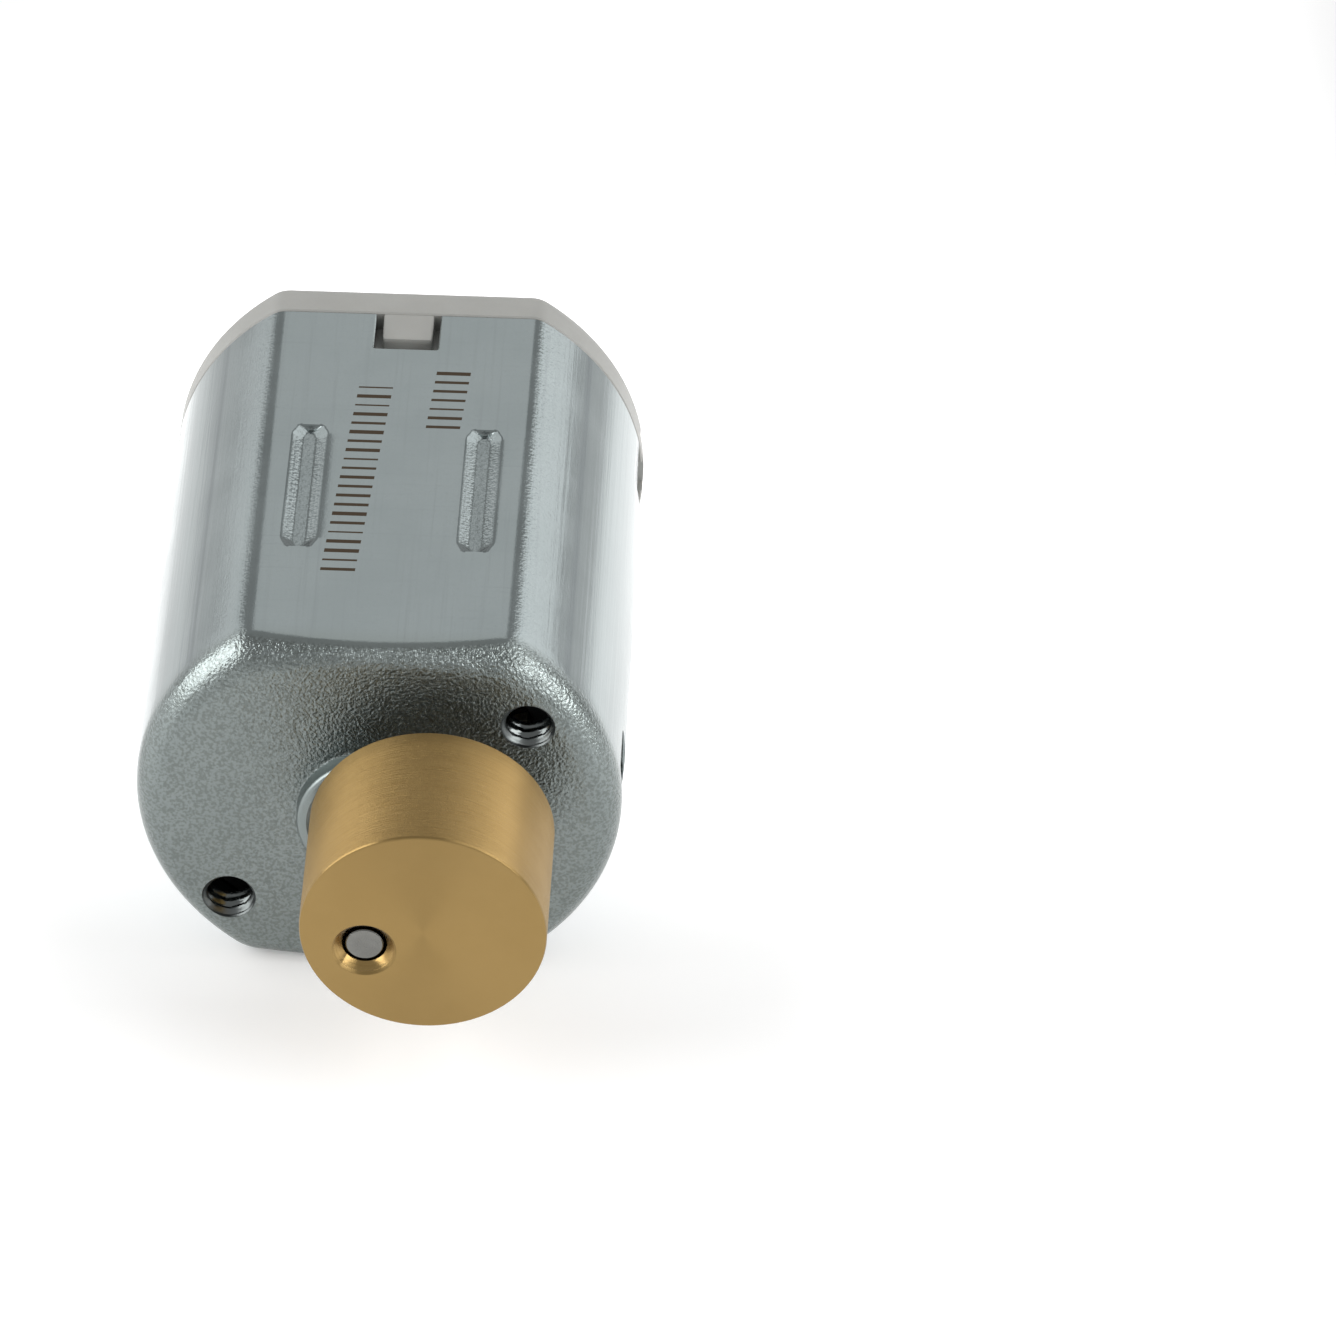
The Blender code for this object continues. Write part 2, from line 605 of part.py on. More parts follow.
def make_commutator(plastic, copper):
    """Plastic hub with a flange, three copper segments and the ring that holds them."""
    start, end = COMMUTATOR
    bore = SHAFT_RADIUS + FIT_GAP
    flange_end = start + COMMUTATOR_FLANGE
    hub = [(start, bore), (start, RING_RADIUS), (flange_end, RING_RADIUS)]
    hub += [(flange_end, COMMUTATOR_HUB_RADIUS), (end, COMMUTATOR_HUB_RADIUS), (end, bore)]
    turned_ring("commutator_hub", hub, SMALL_ROUND_STEPS, plastic)
    for index in range(POLE_COUNT):
        middle = math.pi / 2 + math.pi / POLE_COUNT + 2 * math.pi * index / POLE_COUNT
        low, high = middle - SEGMENT_HALF_ANGLE, middle + SEGMENT_HALF_ANGLE
        points = arc(SEGMENT_RADIUS, low, high, SEGMENT_STEPS)
        points += arc(COMMUTATOR_HUB_RADIUS + FIT_GAP, high, low, SEGMENT_STEPS)
        shape = (points, flange_end + FIT_GAP, end - SEGMENT_END_GAP)
        prisms(f"commutator_segment_{index + 1}", [shape], copper)
    ring_start = flange_end + FIT_GAP
    ring = tube_profile(
        ring_start, ring_start + RING_WIDTH, SEGMENT_RADIUS + FIT_GAP, RING_RADIUS
    )
    turned_ring("commutator_ring", ring, SMALL_ROUND_STEPS, plastic)


def make_bearings(bronze):
    front = tube_profile(*FRONT_BEARING, BEARING_BORE, BEARING_RADIUS)
    turned_ring("front_bearing", front, ROUND_STEPS, bronze)
    rear = tube_profile(*REAR_BEARING, BEARING_BORE, REAR_BEARING_RADIUS)
    turned_ring("rear_bearing", rear, ROUND_STEPS, bronze)


def make_thrust_washers(plastic):
    """Washers on the shaft that run against the inner ends of the two bearings."""
    bore = SHAFT_RADIUS + FIT_GAP
    front = FRONT_BEARING[1] + WASHER_GAP
    rear = REAR_BEARING[0] - WASHER_GAP - WASHER_THICKNESS
    for name, start in (("thrust_washer_front", front), ("thrust_washer_rear", rear)):
        profile = tube_profile(start, start + WASHER_THICKNESS, bore, WASHER_RADIUS)
        turned_ring(name, profile, SMALL_ROUND_STEPS, plastic)


def make_shaft(material):
    """Shaft from just inside the weight's face to the closed end of the rear boss."""
    start = FRONT - WEIGHT_CLEARANCE - WEIGHT_LENGTH + SHAFT_RECESS
    full = circle(SHAFT_RADIUS, SMALL_ROUND_STEPS)
    small = circle(SHAFT_RADIUS - SHAFT_CHAMFER, SMALL_ROUND_STEPS)
    sections = [(start, small), (start + SHAFT_CHAMFER, full)]
    sections += [(SHAFT_REAR - SHAFT_CHAMFER, full), (SHAFT_REAR, small)]
    bm = bmesh.new()
    add_loft(bm, sections)
    return make_object("shaft", bm, material)


def make_weight(material):
    """Plain brass cylinder bored off centre and pressed on the shaft."""
    end = FRONT - WEIGHT_CLEARANCE
    start = end - WEIGHT_LENGTH
    full = circle(WEIGHT_RADIUS, WEIGHT_STEPS, WEIGHT_OFFSET_X, WEIGHT_OFFSET_Z)
    small = circle(WEIGHT_RADIUS - WEIGHT_CHAMFER, WEIGHT_STEPS, WEIGHT_OFFSET_X, WEIGHT_OFFSET_Z)
    sections = [(start, small), (start + WEIGHT_CHAMFER, full)]
    sections += [(end - WEIGHT_CHAMFER, full), (end, small)]
    bm = bmesh.new()
    add_loft(bm, sections)
    weight = make_object("eccentric_weight", bm, material)
    bore = SHAFT_RADIUS + FIT_GAP
    bm = bmesh.new()
    add_loft(
        bm,
        [
            (start - COUNTERSINK_DEPTH, circle(2 * COUNTERSINK_RADIUS - bore, SMALL_ROUND_STEPS)),
            (start + COUNTERSINK_DEPTH, circle(bore, SMALL_ROUND_STEPS)),
            (end + OVERSHOOT, circle(bore, SMALL_ROUND_STEPS)),
        ],
    )
    add_boolean(weight, make_object("weight_bore", bm), "DIFFERENCE")
    return weight


def main():
    clear_scene()
    zinc = make_material("zinc_plated_steel", (0.48, 0.51, 0.52), 0.38, 1.0)
    cap_plastic = make_material("endcap_plastic", (0.60, 0.60, 0.56), 0.5, 0.0)
    brass = make_material("brass", (0.66, 0.49, 0.22), 0.32, 1.0)
    shaft_steel = make_material("shaft_steel", (0.62, 0.62, 0.60), 0.25, 1.0)
    bronze = make_material("sintered_bronze", (0.45, 0.30, 0.16), 0.55, 1.0)
    ferrite = make_material("magnet", (0.10, 0.10, 0.11), 0.6, 0.3)
    lamination_steel = make_material("lamination_steel", (0.42, 0.42, 0.43), 0.4, 1.0)
    nylon = make_material("rotor_plastic", (0.75, 0.72, 0.62), 0.5, 0.0)
    enamel = make_material("enamelled_copper", (0.55, 0.18, 0.06), 0.3, 0.9)
    copper = make_material("commutator_copper", (0.80, 0.42, 0.28), 0.3, 1.0)
    tinned = make_material("tinned_terminal", (0.60, 0.58, 0.52), 0.35, 1.0)

    make_can(zinc)
    make_endcap(cap_plastic)
    make_bearings(bronze)
    for word, side in (("positive", 1), ("negative", -1)):
        make_terminal(f"terminal_{word}", side, tinned)
        make_brush(f"brush_{word}", side, copper)
    make_magnet("magnet_left", -1, ferrite)
    make_magnet("magnet_right", 1, ferrite)
    make_shaft(shaft_steel)
    make_core(lamination_steel, nylon)
    for pole in range(POLE_COUNT):
        make_winding(f"winding_{pole + 1}", pole, enamel)
    make_commutator(nylon, copper)
    make_thrust_washers(nylon)
    make_weight(brass)


main()
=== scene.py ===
"""Looks of the flat-sided vibration motor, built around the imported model.

Every piece is modelled about the shaft's axis (its own Y axis) and placed at the axis's height,
as in the CAD. Sizes are in millimetres times MM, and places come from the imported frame.
"""

import json
import math

import bmesh
import bpy
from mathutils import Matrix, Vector


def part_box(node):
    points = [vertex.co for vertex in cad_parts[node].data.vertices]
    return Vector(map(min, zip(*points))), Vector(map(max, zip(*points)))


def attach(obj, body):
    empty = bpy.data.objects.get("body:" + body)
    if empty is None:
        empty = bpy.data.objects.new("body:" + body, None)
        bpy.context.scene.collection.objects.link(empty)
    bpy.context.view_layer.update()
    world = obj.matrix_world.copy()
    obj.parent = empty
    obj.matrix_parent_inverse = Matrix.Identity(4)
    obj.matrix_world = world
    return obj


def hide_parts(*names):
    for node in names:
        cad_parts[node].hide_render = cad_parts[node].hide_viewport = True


MM = 0.001

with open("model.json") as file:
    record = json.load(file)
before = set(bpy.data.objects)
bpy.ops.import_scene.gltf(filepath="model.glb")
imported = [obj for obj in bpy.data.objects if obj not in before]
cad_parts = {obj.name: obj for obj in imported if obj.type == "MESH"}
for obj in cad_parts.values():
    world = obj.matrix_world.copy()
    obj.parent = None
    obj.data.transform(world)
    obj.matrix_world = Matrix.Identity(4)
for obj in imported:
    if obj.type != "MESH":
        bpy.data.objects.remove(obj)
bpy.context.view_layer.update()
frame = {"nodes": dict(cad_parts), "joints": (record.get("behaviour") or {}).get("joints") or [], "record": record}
mounts = {mount["name"]: mount for mount in frame["record"]["mounts"]}

# The motor's main places, from the frame. The origin is at the can's mid-length.
AXIS_Z = frame["joints"][0]["pos_m"][2]
FRONT = mounts["front_face"]["pos_m"][1]
REAR = -FRONT
CAN_LOW, CAN_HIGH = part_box("can")
CAP_LOW, CAP_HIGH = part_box("endcap")
WEIGHT_LOW, WEIGHT_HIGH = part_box("eccentric_weight")
SHAFT_LOW, SHAFT_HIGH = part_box("shaft")
CAN_RADIUS = CAN_HIGH.x
CAN_HALF_HEIGHT = AXIS_Z
CAP_BOSS_HEIGHT = 1.0 * MM
CAP_FACE = CAP_HIGH.y - CAP_BOSS_HEIGHT

# Sheet metal of the can.
SHEET = 0.5 * MM
CREASE_RADIUS = 0.65 * MM
FRONT_CREASE_RADIUS = 1.05 * MM
INNER_CREASE_RADIUS = 0.12 * MM
CORNER_RADIUS = 0.85 * MM
INNER_CORNER_RADIUS = 0.35 * MM
FIT_GAP = 0.03 * MM
EDGE = 0.04 * MM
OVERSHOOT = 0.5 * MM

GROOVE_X = 2.18 * MM
GROOVE_HALF_WIDTH = 0.31 * MM
GROOVE_FRONT = FRONT + 4.15 * MM
GROOVE_REAR = FRONT + 9.08 * MM
GROOVE_DEPTH = 0.15 * MM
GROOVE_WALL = 0.3 * MM
GROOVE_END = 0.4 * MM
GROOVE_SLOPE = 0.05 * MM
# A groove's half width at its tips, as a share of the full one, and how far to each side of its
# middle the can's columns lie close together.
GROOVE_TIP = 0.55
GROOVE_REACH = 0.48 * MM
CRIMP_LENGTH = 1.8 * MM
CRIMP_DEPTH = 0.13 * MM
CRIMP_HALF_HEIGHT = 1.1 * MM

# The die line, a faint mark along each rounded side.
DIE_LINE_X = 4.62 * MM

BOSS_RADIUS = 1.97 * MM
BOSS_HEIGHT = 0.5 * MM
BEARING_SEAT = 1.6 * MM + FIT_GAP
TAPPED_HOLE_X = 3.71 * MM
TAPPED_HOLE_Z = 2.88 * MM
THREAD_MINOR = 0.545 * MM
THREAD_MAJOR = 0.66 * MM
THREAD_PITCH = 0.3 * MM
COLLAR_RADIUS = 0.9 * MM
COLLAR_DEPTH = 0.45 * MM

# The side windows, and the notches that take the endcap's tabs.
WINDOW_HALF_LENGTH = 0.8 * MM
WINDOW_HALF_HEIGHT = 0.85 * MM
WINDOW_Y = FRONT + 1.8 * MM
NOTCH_HALF_WIDTH = 0.82 * MM
NOTCH_LENGTH = 1.46 * MM

# The endcap's dished marks, as (radius, x, z): the plus sign's, the dot's and a plain one.
MARK_X = 2.82 * MM
MARK_Z = 2.98 * MM
MARK_DEPTH = 0.17 * MM
MARK_DISHES = (
    (1.0 * MM, MARK_X, MARK_Z),
    (0.7 * MM, -MARK_X, MARK_Z),
    (0.82 * MM, 0.0, -3.65 * MM),
)
CAP_BOSS_RADIUS = 2.57 * MM
TERMINAL_X = 3.735 * MM
EYELET_RADIUS = 0.3 * MM
LUG_POCKET_X = 5.57 * MM
LUG_WAY_X = 5.86 * MM
GATE_RADIUS = 0.29 * MM
GATE_Z = -1.36 * MM
CAP_SEAT = 1.25 * MM + FIT_GAP
BRUSH_CHAMBER = 3.5 * MM

# The weight's countersunk bore, the shaft and the bearings' bore.
COUNTERSINK_RADIUS = 0.79 * MM
COUNTERSINK_DEPTH = 0.25 * MM
WEIGHT_BORE = 0.55 * MM
SHAFT_RADIUS = 0.5 * MM
BEARING_BORE = 0.53 * MM

# Edges that bend by less than this many degrees are shaded smooth.
SMOOTH_ANGLE = 32

# The floor's half size in metres. Below it, in millimetres: the distances between which the floor's
# colour darkens as painted shade, and the stretches over which a glowing patch around and behind the
# motor fades in (left and near) and out (right and far).
FLOOR_HALF_SIZE = 3.0
FLOOR_FADE = (24.0, 44.0)
STRIP_LEFT = (-12.4, -10.6)
STRIP_RIGHT = (18.0, 26.0)
STRIP_NEAR = (-9.0, 4.0)
STRIP_FAR = (40.0, 60.0)

# Panel lights, at a distance in metres: name, azimuth, elevation, width and height in degrees,
# and brightness.
SOFTBOX_DISTANCE = 0.6
SOFTBOXES = (
    ("rear", 0, 40, 18, 18, 0.58),
    ("rear_left", -49, 24, 30, 46, 0.85),
    ("rear_right", 46, 24, 30, 44, 1.3),
    ("left", -98, 26, 54, 48, 3.5),
    ("right_low", 109, 27, 40, 38, 4.4),
    ("right_high", 78, 60, 40, 20, 1.0),
)


# ---------------------------------------------------------------- mesh helpers


def smoothstep(value):
    value = min(max(value, 0.0), 1.0)
    return value * value * (3 - 2 * value)


def spaced(start, end, step):
    """Values from start up to, not including, end, at most a step apart."""
    count = max(1, math.ceil((end - start) / step - 1e-6))
    return [start + (end - start) * i / count for i in range(count)]


def make_piece(name, bm, material=None, smooth_angle=SMOOTH_ANGLE):
    """An object on the shaft's axis from a bmesh; what apply_booleans takes has no material."""
    bmesh.ops.recalc_face_normals(bm, faces=bm.faces)
    mesh = bpy.data.meshes.new(name)
    bm.to_mesh(mesh)
    bm.free()
    mesh.shade_smooth()
    mesh.set_sharp_from_angle(angle=math.radians(smooth_angle))
    piece = bpy.data.objects.new(name, mesh)
    piece.location.z = AXIS_Z
    bpy.context.scene.collection.objects.link(piece)
    if material:
        mesh.materials.append(material)
    return piece


def place(axis, along, u, v):
    """A point from its place along an axis and its two coordinates across it."""
    return {"X": (along, u, v), "Y": (u, along, v), "Z": (u, v, along)}[axis]


def add_loft(bm, sections, axis="Y"):
    """A closed body through (place along the axis, outline) sections of equal length."""
    rings = [[bm.verts.new(place(axis, along, u, v)) for u, v in outline] for along, outline in sections]
    bm.faces.new(rings[0])
    bm.faces.new(rings[-1][::-1])
    for first, second in zip(rings, rings[1:]):
        for i in range(len(first)):
            j = (i + 1) % len(first)
            bm.faces.new((first[i], second[i], second[j], first[j]))


def circle(radius, steps, u=0.0, v=0.0):
    turn = 2 * math.pi / steps
    return [(u + radius * math.cos(turn * i), v + radius * math.sin(turn * i)) for i in range(steps)]


def rounded_box(half_u, half_v, corner, u=0.0, v=0.0):
    """Rectangle outline with rounded corners, about (u, v)."""
    steps = 4
    points = []
    for quarter, (su, sv) in enumerate(((1, 1), (-1, 1), (-1, -1), (1, -1))):
        for step in range(steps + 1):
            angle = math.pi / 2 * (quarter + step / steps)
            points.append(
                (
                    u + su * (half_u - corner) + corner * math.cos(angle),
                    v + sv * (half_v - corner) + corner * math.sin(angle),
                )
            )
    return points


def add_pocket(bm, outline, mouth, floor, beyond, axis="Y", edge=EDGE):
    """A cutter with its mouth and floor chamfered; outline(grow) gives its section."""
    inwards = 1 if floor > mouth else -1
    sections = [
        (mouth - inwards * beyond, outline(edge)),
        (mouth, outline(edge)),
        (mouth + inwards * edge, outline(0)),
        (floor - inwards * edge, outline(0)),
        (floor, outline(-edge)),
    ]
    add_loft(bm, sections, axis)


def add_turned(bm, profile, steps, u=0.0, v=0.0):
    """A solid turned about an axis along Y through (u, v), from (y, radius) points."""
    add_loft(bm, [(y, circle(radius, steps, u, v)) for y, radius in profile])


def add_turned_ring(bm, profile, steps):
    """A ring turned about the shaft's axis from a closed (y, radius) profile."""
    rings = []
    for step in range(steps):
        angle = 2 * math.pi * step / steps
        rings.append([bm.verts.new((r * math.cos(angle), y, r * math.sin(angle))) for y, r in profile])
    for i, ring in enumerate(rings):
        following = rings[(i + 1) % steps]
        for a in range(len(profile)):
            b = (a + 1) % len(profile)
            bm.faces.new((ring[a], ring[b], following[b], following[a]))


def apply_booleans(piece, *steps):
    """Applies (operation, cutter) steps in turn and removes the cutters."""
    for operation, cutter in steps:
        modifier = piece.modifiers.new(operation, "BOOLEAN")
        modifier.operation = operation
        modifier.solver = "EXACT"
        modifier.object = cutter
    finish_modifiers(piece)
    for _, cutter in steps:
        bpy.data.objects.remove(cutter, do_unlink=True)


def finish_modifiers(piece):
    """Turns the piece's modifiers into its mesh, and marks its sharp edges again."""
    graph = bpy.context.evaluated_depsgraph_get()
    mesh = bpy.data.meshes.new_from_object(piece.evaluated_get(graph))
    piece.modifiers.clear()
    piece.data = mesh
    mesh.shade_smooth()
    mesh.set_sharp_from_angle(angle=math.radians(SMOOTH_ANGLE))


def weight_normals(piece):
    """Lets large flat faces set the normals beside them, so that they shade flat."""
    modifier = piece.modifiers.new("Weighted normals", "WEIGHTED_NORMAL")
    modifier.keep_sharp = True
    modifier.weight = 80


def add_bevel(piece, width):
    """Breaks the piece's sharp edges."""
    modifier = piece.modifiers.new("Bevel", "BEVEL")
    modifier.width = width
    modifier.segments = 2
    modifier.limit_method = "ANGLE"
    modifier.angle_limit = math.radians(40)


# ------------------------------------------------------------- node materials


class Shader:
    """A node material under construction, with object coordinates in millimetres."""

    def __init__(self, name, roughness=0.5, metallic=0.0):
        self.material = bpy.data.materials.new(name)
        self.material.use_nodes = True
        self.tree = self.material.node_tree
        self.bsdf = self.tree.nodes["Principled BSDF"]
        self.bsdf.inputs["Roughness"].default_value = roughness
        self.bsdf.inputs["Metallic"].default_value = metallic
        coordinates = self.tree.nodes.new("ShaderNodeTexCoord").outputs["Object"]
        scale = self.tree.nodes.new("ShaderNodeVectorMath")
        scale.operation = "SCALE"
        scale.inputs["Scale"].default_value = 1 / MM
        self.tree.links.new(coordinates, scale.inputs[0])
        self.millimetres = scale.outputs[0]
        separate = self.tree.nodes.new("ShaderNodeSeparateXYZ")
        self.tree.links.new(self.millimetres, separate.inputs[0])
        self.x, self.y, self.z = separate.outputs

    def link(self, source, socket):
        """Links an output, or sets a plain value, on an input socket."""
        if isinstance(source, bpy.types.NodeSocket):
            self.tree.links.new(source, socket)
        else:
            socket.default_value = source

    def math(self, operation, first, second=0.0, third=0.0):
        node = self.tree.nodes.new("ShaderNodeMath")
        node.operation = operation
        for socket, source in zip(node.inputs, (first, second, third)):
            self.link(source, socket)
        return node.outputs[0]

    def inverse(self, value):
        return self.math("SUBTRACT", 1.0, value)

    def apart(self, first, second):
        """The difference of two values, without its sign."""
        return self.math("ABSOLUTE", self.math("SUBTRACT", first, second))

    def distance(self, first, second):
        """The square root of the sum of two squares."""
        squares = self.math("MULTIPLY_ADD", first, first, self.math("MULTIPLY", second, second))
        return self.math("SQRT", squares)

    def stretched(self, x, y, z):
        """The millimetre coordinates, multiplied along each axis."""
        node = self.tree.nodes.new("ShaderNodeVectorMath")
        node.operation = "MULTIPLY"
        self.link(self.millimetres, node.inputs[0])
        node.inputs[1].default_value = (x, y, z)
        return node.outputs[0]

    def noise(self, scale, detail=3.0, roughness=0.5, vector=None):
        node = self.tree.nodes.new("ShaderNodeTexNoise")
        self.link(vector or self.millimetres, node.inputs["Vector"])
        node.inputs["Scale"].default_value = scale
        node.inputs["Detail"].default_value = detail
        node.inputs["Roughness"].default_value = roughness
        return node.outputs["Fac"]

    def remap(self, value, low, high, to_low=0.0, to_high=1.0):
        """A clamped, smoothed change of range."""
        node = self.tree.nodes.new("ShaderNodeMapRange")
        node.interpolation_type = "SMOOTHSTEP"
        for name, source in (
            ("Value", value),
            ("From Min", low),
            ("From Max", high),
            ("To Min", to_low),
            ("To Max", to_high),
        ):
            self.link(source, node.inputs[name])
        return node.outputs["Result"]

    def mix_color(self, factor, first, second):
        node = self.tree.nodes.new("ShaderNodeMix")
        node.data_type = "RGBA"
        self.link(factor, node.inputs["Factor"])
        for socket, source in zip((node.inputs["A"], node.inputs["B"]), (first, second)):
            self.link((*source, 1.0) if isinstance(source, tuple) else source, socket)
        return next(output for output in node.outputs if output.type == "RGBA")

    def bump(self, height, distance, previous=None, strength=1.0):
        node = self.tree.nodes.new("ShaderNodeBump")
        self.link(height, node.inputs["Height"])
        self.link(strength, node.inputs["Strength"])
        node.inputs["Distance"].default_value = distance
        if previous:
            self.link(previous, node.inputs["Normal"])
        return node.outputs["Normal"]

    def set(self, name, source):
        self.link(source, self.bsdf.inputs[name])


def zinc_material():
    """Bright zinc plate: smooth on the flats, hammered where the sheet was bent, and on the face."""
    s = Shader("zinc_plate", metallic=1.0)
    top = CAN_HALF_HEIGHT / MM
    height = s.math("ABSOLUTE", s.z)
    front = s.remap(s.y, FRONT / MM + 1.15, FRONT / MM + 0.5)
    flat = s.remap(height, top - 0.06, top - 0.01)
    bent = s.math("MAXIMUM", front, s.remap(height, 4.2, 4.6, 0.0, 0.12))
    bent = s.math("MULTIPLY", bent, s.inverse(flat))
    from_groove = s.apart(s.math("ABSOLUTE", s.x), GROOVE_X / MM)
    pressed = s.remap(from_groove, GROOVE_HALF_WIDTH / MM + 0.05, GROOVE_HALF_WIDTH / MM - 0.1)
    pressed = s.math("MULTIPLY", pressed, s.remap(height, top - 0.04, top - 0.1))
    bent = s.math("MAXIMUM", bent, s.math("MULTIPLY", pressed, 0.25))
    hole = hole_mask(s)
    smooth = s.math("MAXIMUM", hole, s.math("LESS_THAN", s.y, FRONT / MM - 0.05))
    bent = s.math("MULTIPLY", bent, s.inverse(smooth))
    cloud = s.noise(0.5, detail=4.0)
    speckle = s.noise(10.0, detail=4.0, roughness=0.7)
    drawn = s.noise(1.0, detail=4.0, roughness=0.65, vector=s.stretched(7.0, 0.12, 7.0))
    peel = s.noise(12.0, detail=2.0, roughness=0.5)
    hairline = s.noise(1.0, detail=3.0, roughness=0.7, vector=s.stretched(0.3, 12.0, 0.3))
    side = s.math("MULTIPLY", s.inverse(flat), s.inverse(front))
    color = s.mix_color(s.remap(cloud, 0.3, 0.7), (0.25, 0.284, 0.286), (0.278, 0.314, 0.316))
    color = s.mix_color(s.remap(drawn, 0.5, 0.8, 0.0, 0.35), color, (0.21, 0.235, 0.24))
    color = s.mix_color(s.remap(speckle, 0.55, 0.8, 0.0, 0.3), color, (0.17, 0.19, 0.19))
    color = s.mix_color(s.remap(hairline, 0.55, 0.8, 0.0, 0.3), color, (0.21, 0.235, 0.24))
    # Painted shade: the face and its rounded rim are mixed a fifth of the way to a darker, greener grey, standing
    # in for the dim floor they reflect.
    color = s.mix_color(s.math("MULTIPLY", front, 0.2), color, (0.17, 0.19, 0.16))
    die_line = s.apart(s.math("ABSOLUTE", s.x), DIE_LINE_X / MM)
    die_line = s.math("MULTIPLY", s.remap(die_line, 0.11, 0.02), s.remap(drawn, 0.35, 0.55, 0.3, 0.6))
    color = s.mix_color(s.math("MULTIPLY", die_line, side), color, (0.17, 0.195, 0.205))
    pepper = s.math("MULTIPLY", s.remap(s.noise(13.0, detail=1.0), 0.4, 0.62), s.math("MULTIPLY", bent, 0.55))
    color = s.mix_color(pepper, color, (0.13, 0.145, 0.135))
    # Painted shade: the tapped holes' insides are mixed most of the way to near black, as the shade deep in them.
    color = s.mix_color(s.math("MULTIPLY", hole, 0.6), color, (0.08, 0.08, 0.08))
    marking = s.math("MULTIPLY", etched_bars(s), s.math("GREATER_THAN", s.z, top - 0.05))
    color = s.mix_color(marking, color, (0.085, 0.062, 0.042))
    s.set("Base Color", color)
    rough = s.remap(cloud, 0.3, 0.7, 0.13, 0.19)
    rough = s.math("ADD", rough, s.math("MULTIPLY", marking, 0.35))
    face = s.remap(s.y, FRONT / MM + 0.4, FRONT / MM + 0.04)
    s.set("Roughness", s.math("MULTIPLY_ADD", face, 0.2, rough))
    coarse = s.math("MULTIPLY", bent, s.remap(s.x, -5.0, 1.5, 0.5, 1.0))
    coarse = s.math("MULTIPLY", coarse, s.remap(s.math("ABSOLUTE", s.x), 3.4, 4.8, 1.0, 0.55))
    normal = s.bump(peel, 0.06 * MM, strength=s.math("MULTIPLY_ADD", coarse, 0.9, 0.03))
    normal = s.bump(drawn, 0.012 * MM, previous=normal, strength=s.math("MULTIPLY_ADD", side, 0.45, 0.1))
    normal = s.bump(speckle, 0.003 * MM, previous=normal, strength=0.4)
    s.set("Normal", normal)
    return s.material


def hole_mask(s):
    """One inside the two tapped holes, and nought around them."""
    inside = []
    for side in (1, -1):
        x = s.math("SUBTRACT", s.x, side * TAPPED_HOLE_X / MM)
        z = s.math("SUBTRACT", s.z, side * TAPPED_HOLE_Z / MM)
        square = s.math("ADD", s.math("MULTIPLY", x, x), s.math("MULTIPLY", z, z))
        inside.append(s.math("LESS_THAN", square, (THREAD_MAJOR / MM + 0.01) ** 2))
    inside = s.math("MAXIMUM", *inside)
    return s.math("MULTIPLY", inside, s.math("LESS_THAN", s.y, FRONT / MM + 1.1))


def etched_bars(s):
    """A mask of two slanting rows of thin etched bars on the top flat, of uneven width.

    Each row has its start and end behind the can's face, its middle and the seed of its widths.
    """
    rows = []
    for start, end, middle, seed in ((3.1, 10.85, -1.2, 0.0), (8.95, 11.45, 0.68, 31.0)):
        start, end = FRONT / MM + start, FRONT / MM + end
        slant = s.math("MULTIPLY_ADD", s.y, 0.065, middle + 0.3)
        across = s.apart(s.x, slant)
        inside = s.math("LESS_THAN", across, 0.43)
        inside = s.math("MULTIPLY", inside, s.math("GREATER_THAN", s.y, start))
        inside = s.math("MULTIPLY", inside, s.math("LESS_THAN", s.y, end))
        step = s.math("DIVIDE", s.math("SUBTRACT", s.y, start), 0.37)
        random = s.tree.nodes.new("ShaderNodeTexWhiteNoise")
        random.noise_dimensions = "1D"
        s.link(s.math("ADD", s.math("FLOOR", step), seed), random.inputs["W"])
        width = s.math("MULTIPLY_ADD", random.outputs["Value"], 0.13, 0.08)
        offset = s.apart(s.math("FRACT", step), 0.5)
        rows.append(s.math("MULTIPLY", inside, s.math("LESS_THAN", offset, width)))
    return s.math("MAXIMUM", *rows)


def brass_material():
    """Turned brass: fine lines around the side, a plain matte grain on the ends."""
    s = Shader("turned_brass", metallic=1.0)
    front = WEIGHT_LOW.y / MM
    face = s.remap(s.y, front + 0.09, front + 0.05)
    lines = s.noise(1.0, detail=5.0, roughness=0.7, vector=s.stretched(0.8, 34.0, 0.8))
    grain = s.noise(16.0, detail=4.0, roughness=0.6)
    cloud = s.noise(0.7, detail=3.0)
    color = s.mix_color(s.remap(cloud, 0.3, 0.7), (0.35, 0.235, 0.092), (0.38, 0.257, 0.103))
    streak = s.math("MULTIPLY", s.remap(lines, 0.35, 0.7, 0.0, 0.4), s.inverse(face))
    color = s.mix_color(streak, color, (0.25, 0.15, 0.045))
    color = s.mix_color(s.math("MULTIPLY", face, 0.5), color, (0.26, 0.172, 0.063))
    s.set("Base Color", color)
    near_bore = s.math("LESS_THAN", s.distance(s.x, s.z), COUNTERSINK_RADIUS / MM + 0.04)
    sunk = s.math("MULTIPLY", near_bore, s.inverse(face))
    rough = s.remap(face, 0.0, 1.0, 0.4, 0.32)
    s.set("Roughness", s.math("MULTIPLY_ADD", sunk, -0.2, rough))
    side = s.inverse(s.math("MAXIMUM", face, sunk))
    normal = s.bump(lines, 0.018 * MM, strength=s.math("MULTIPLY", side, 0.9))
    normal = s.bump(grain, 0.004 * MM, previous=normal, strength=0.5)
    s.set("Normal", normal)
    s.set("Anisotropic", 0.85)
    s.set("Anisotropic Rotation", 0.25)
    tangent = s.tree.nodes.new("ShaderNodeTangent")
    tangent.direction_type = "RADIAL"
    tangent.axis = "Y"
    s.set("Tangent", tangent.outputs["Tangent"])
    return s.material


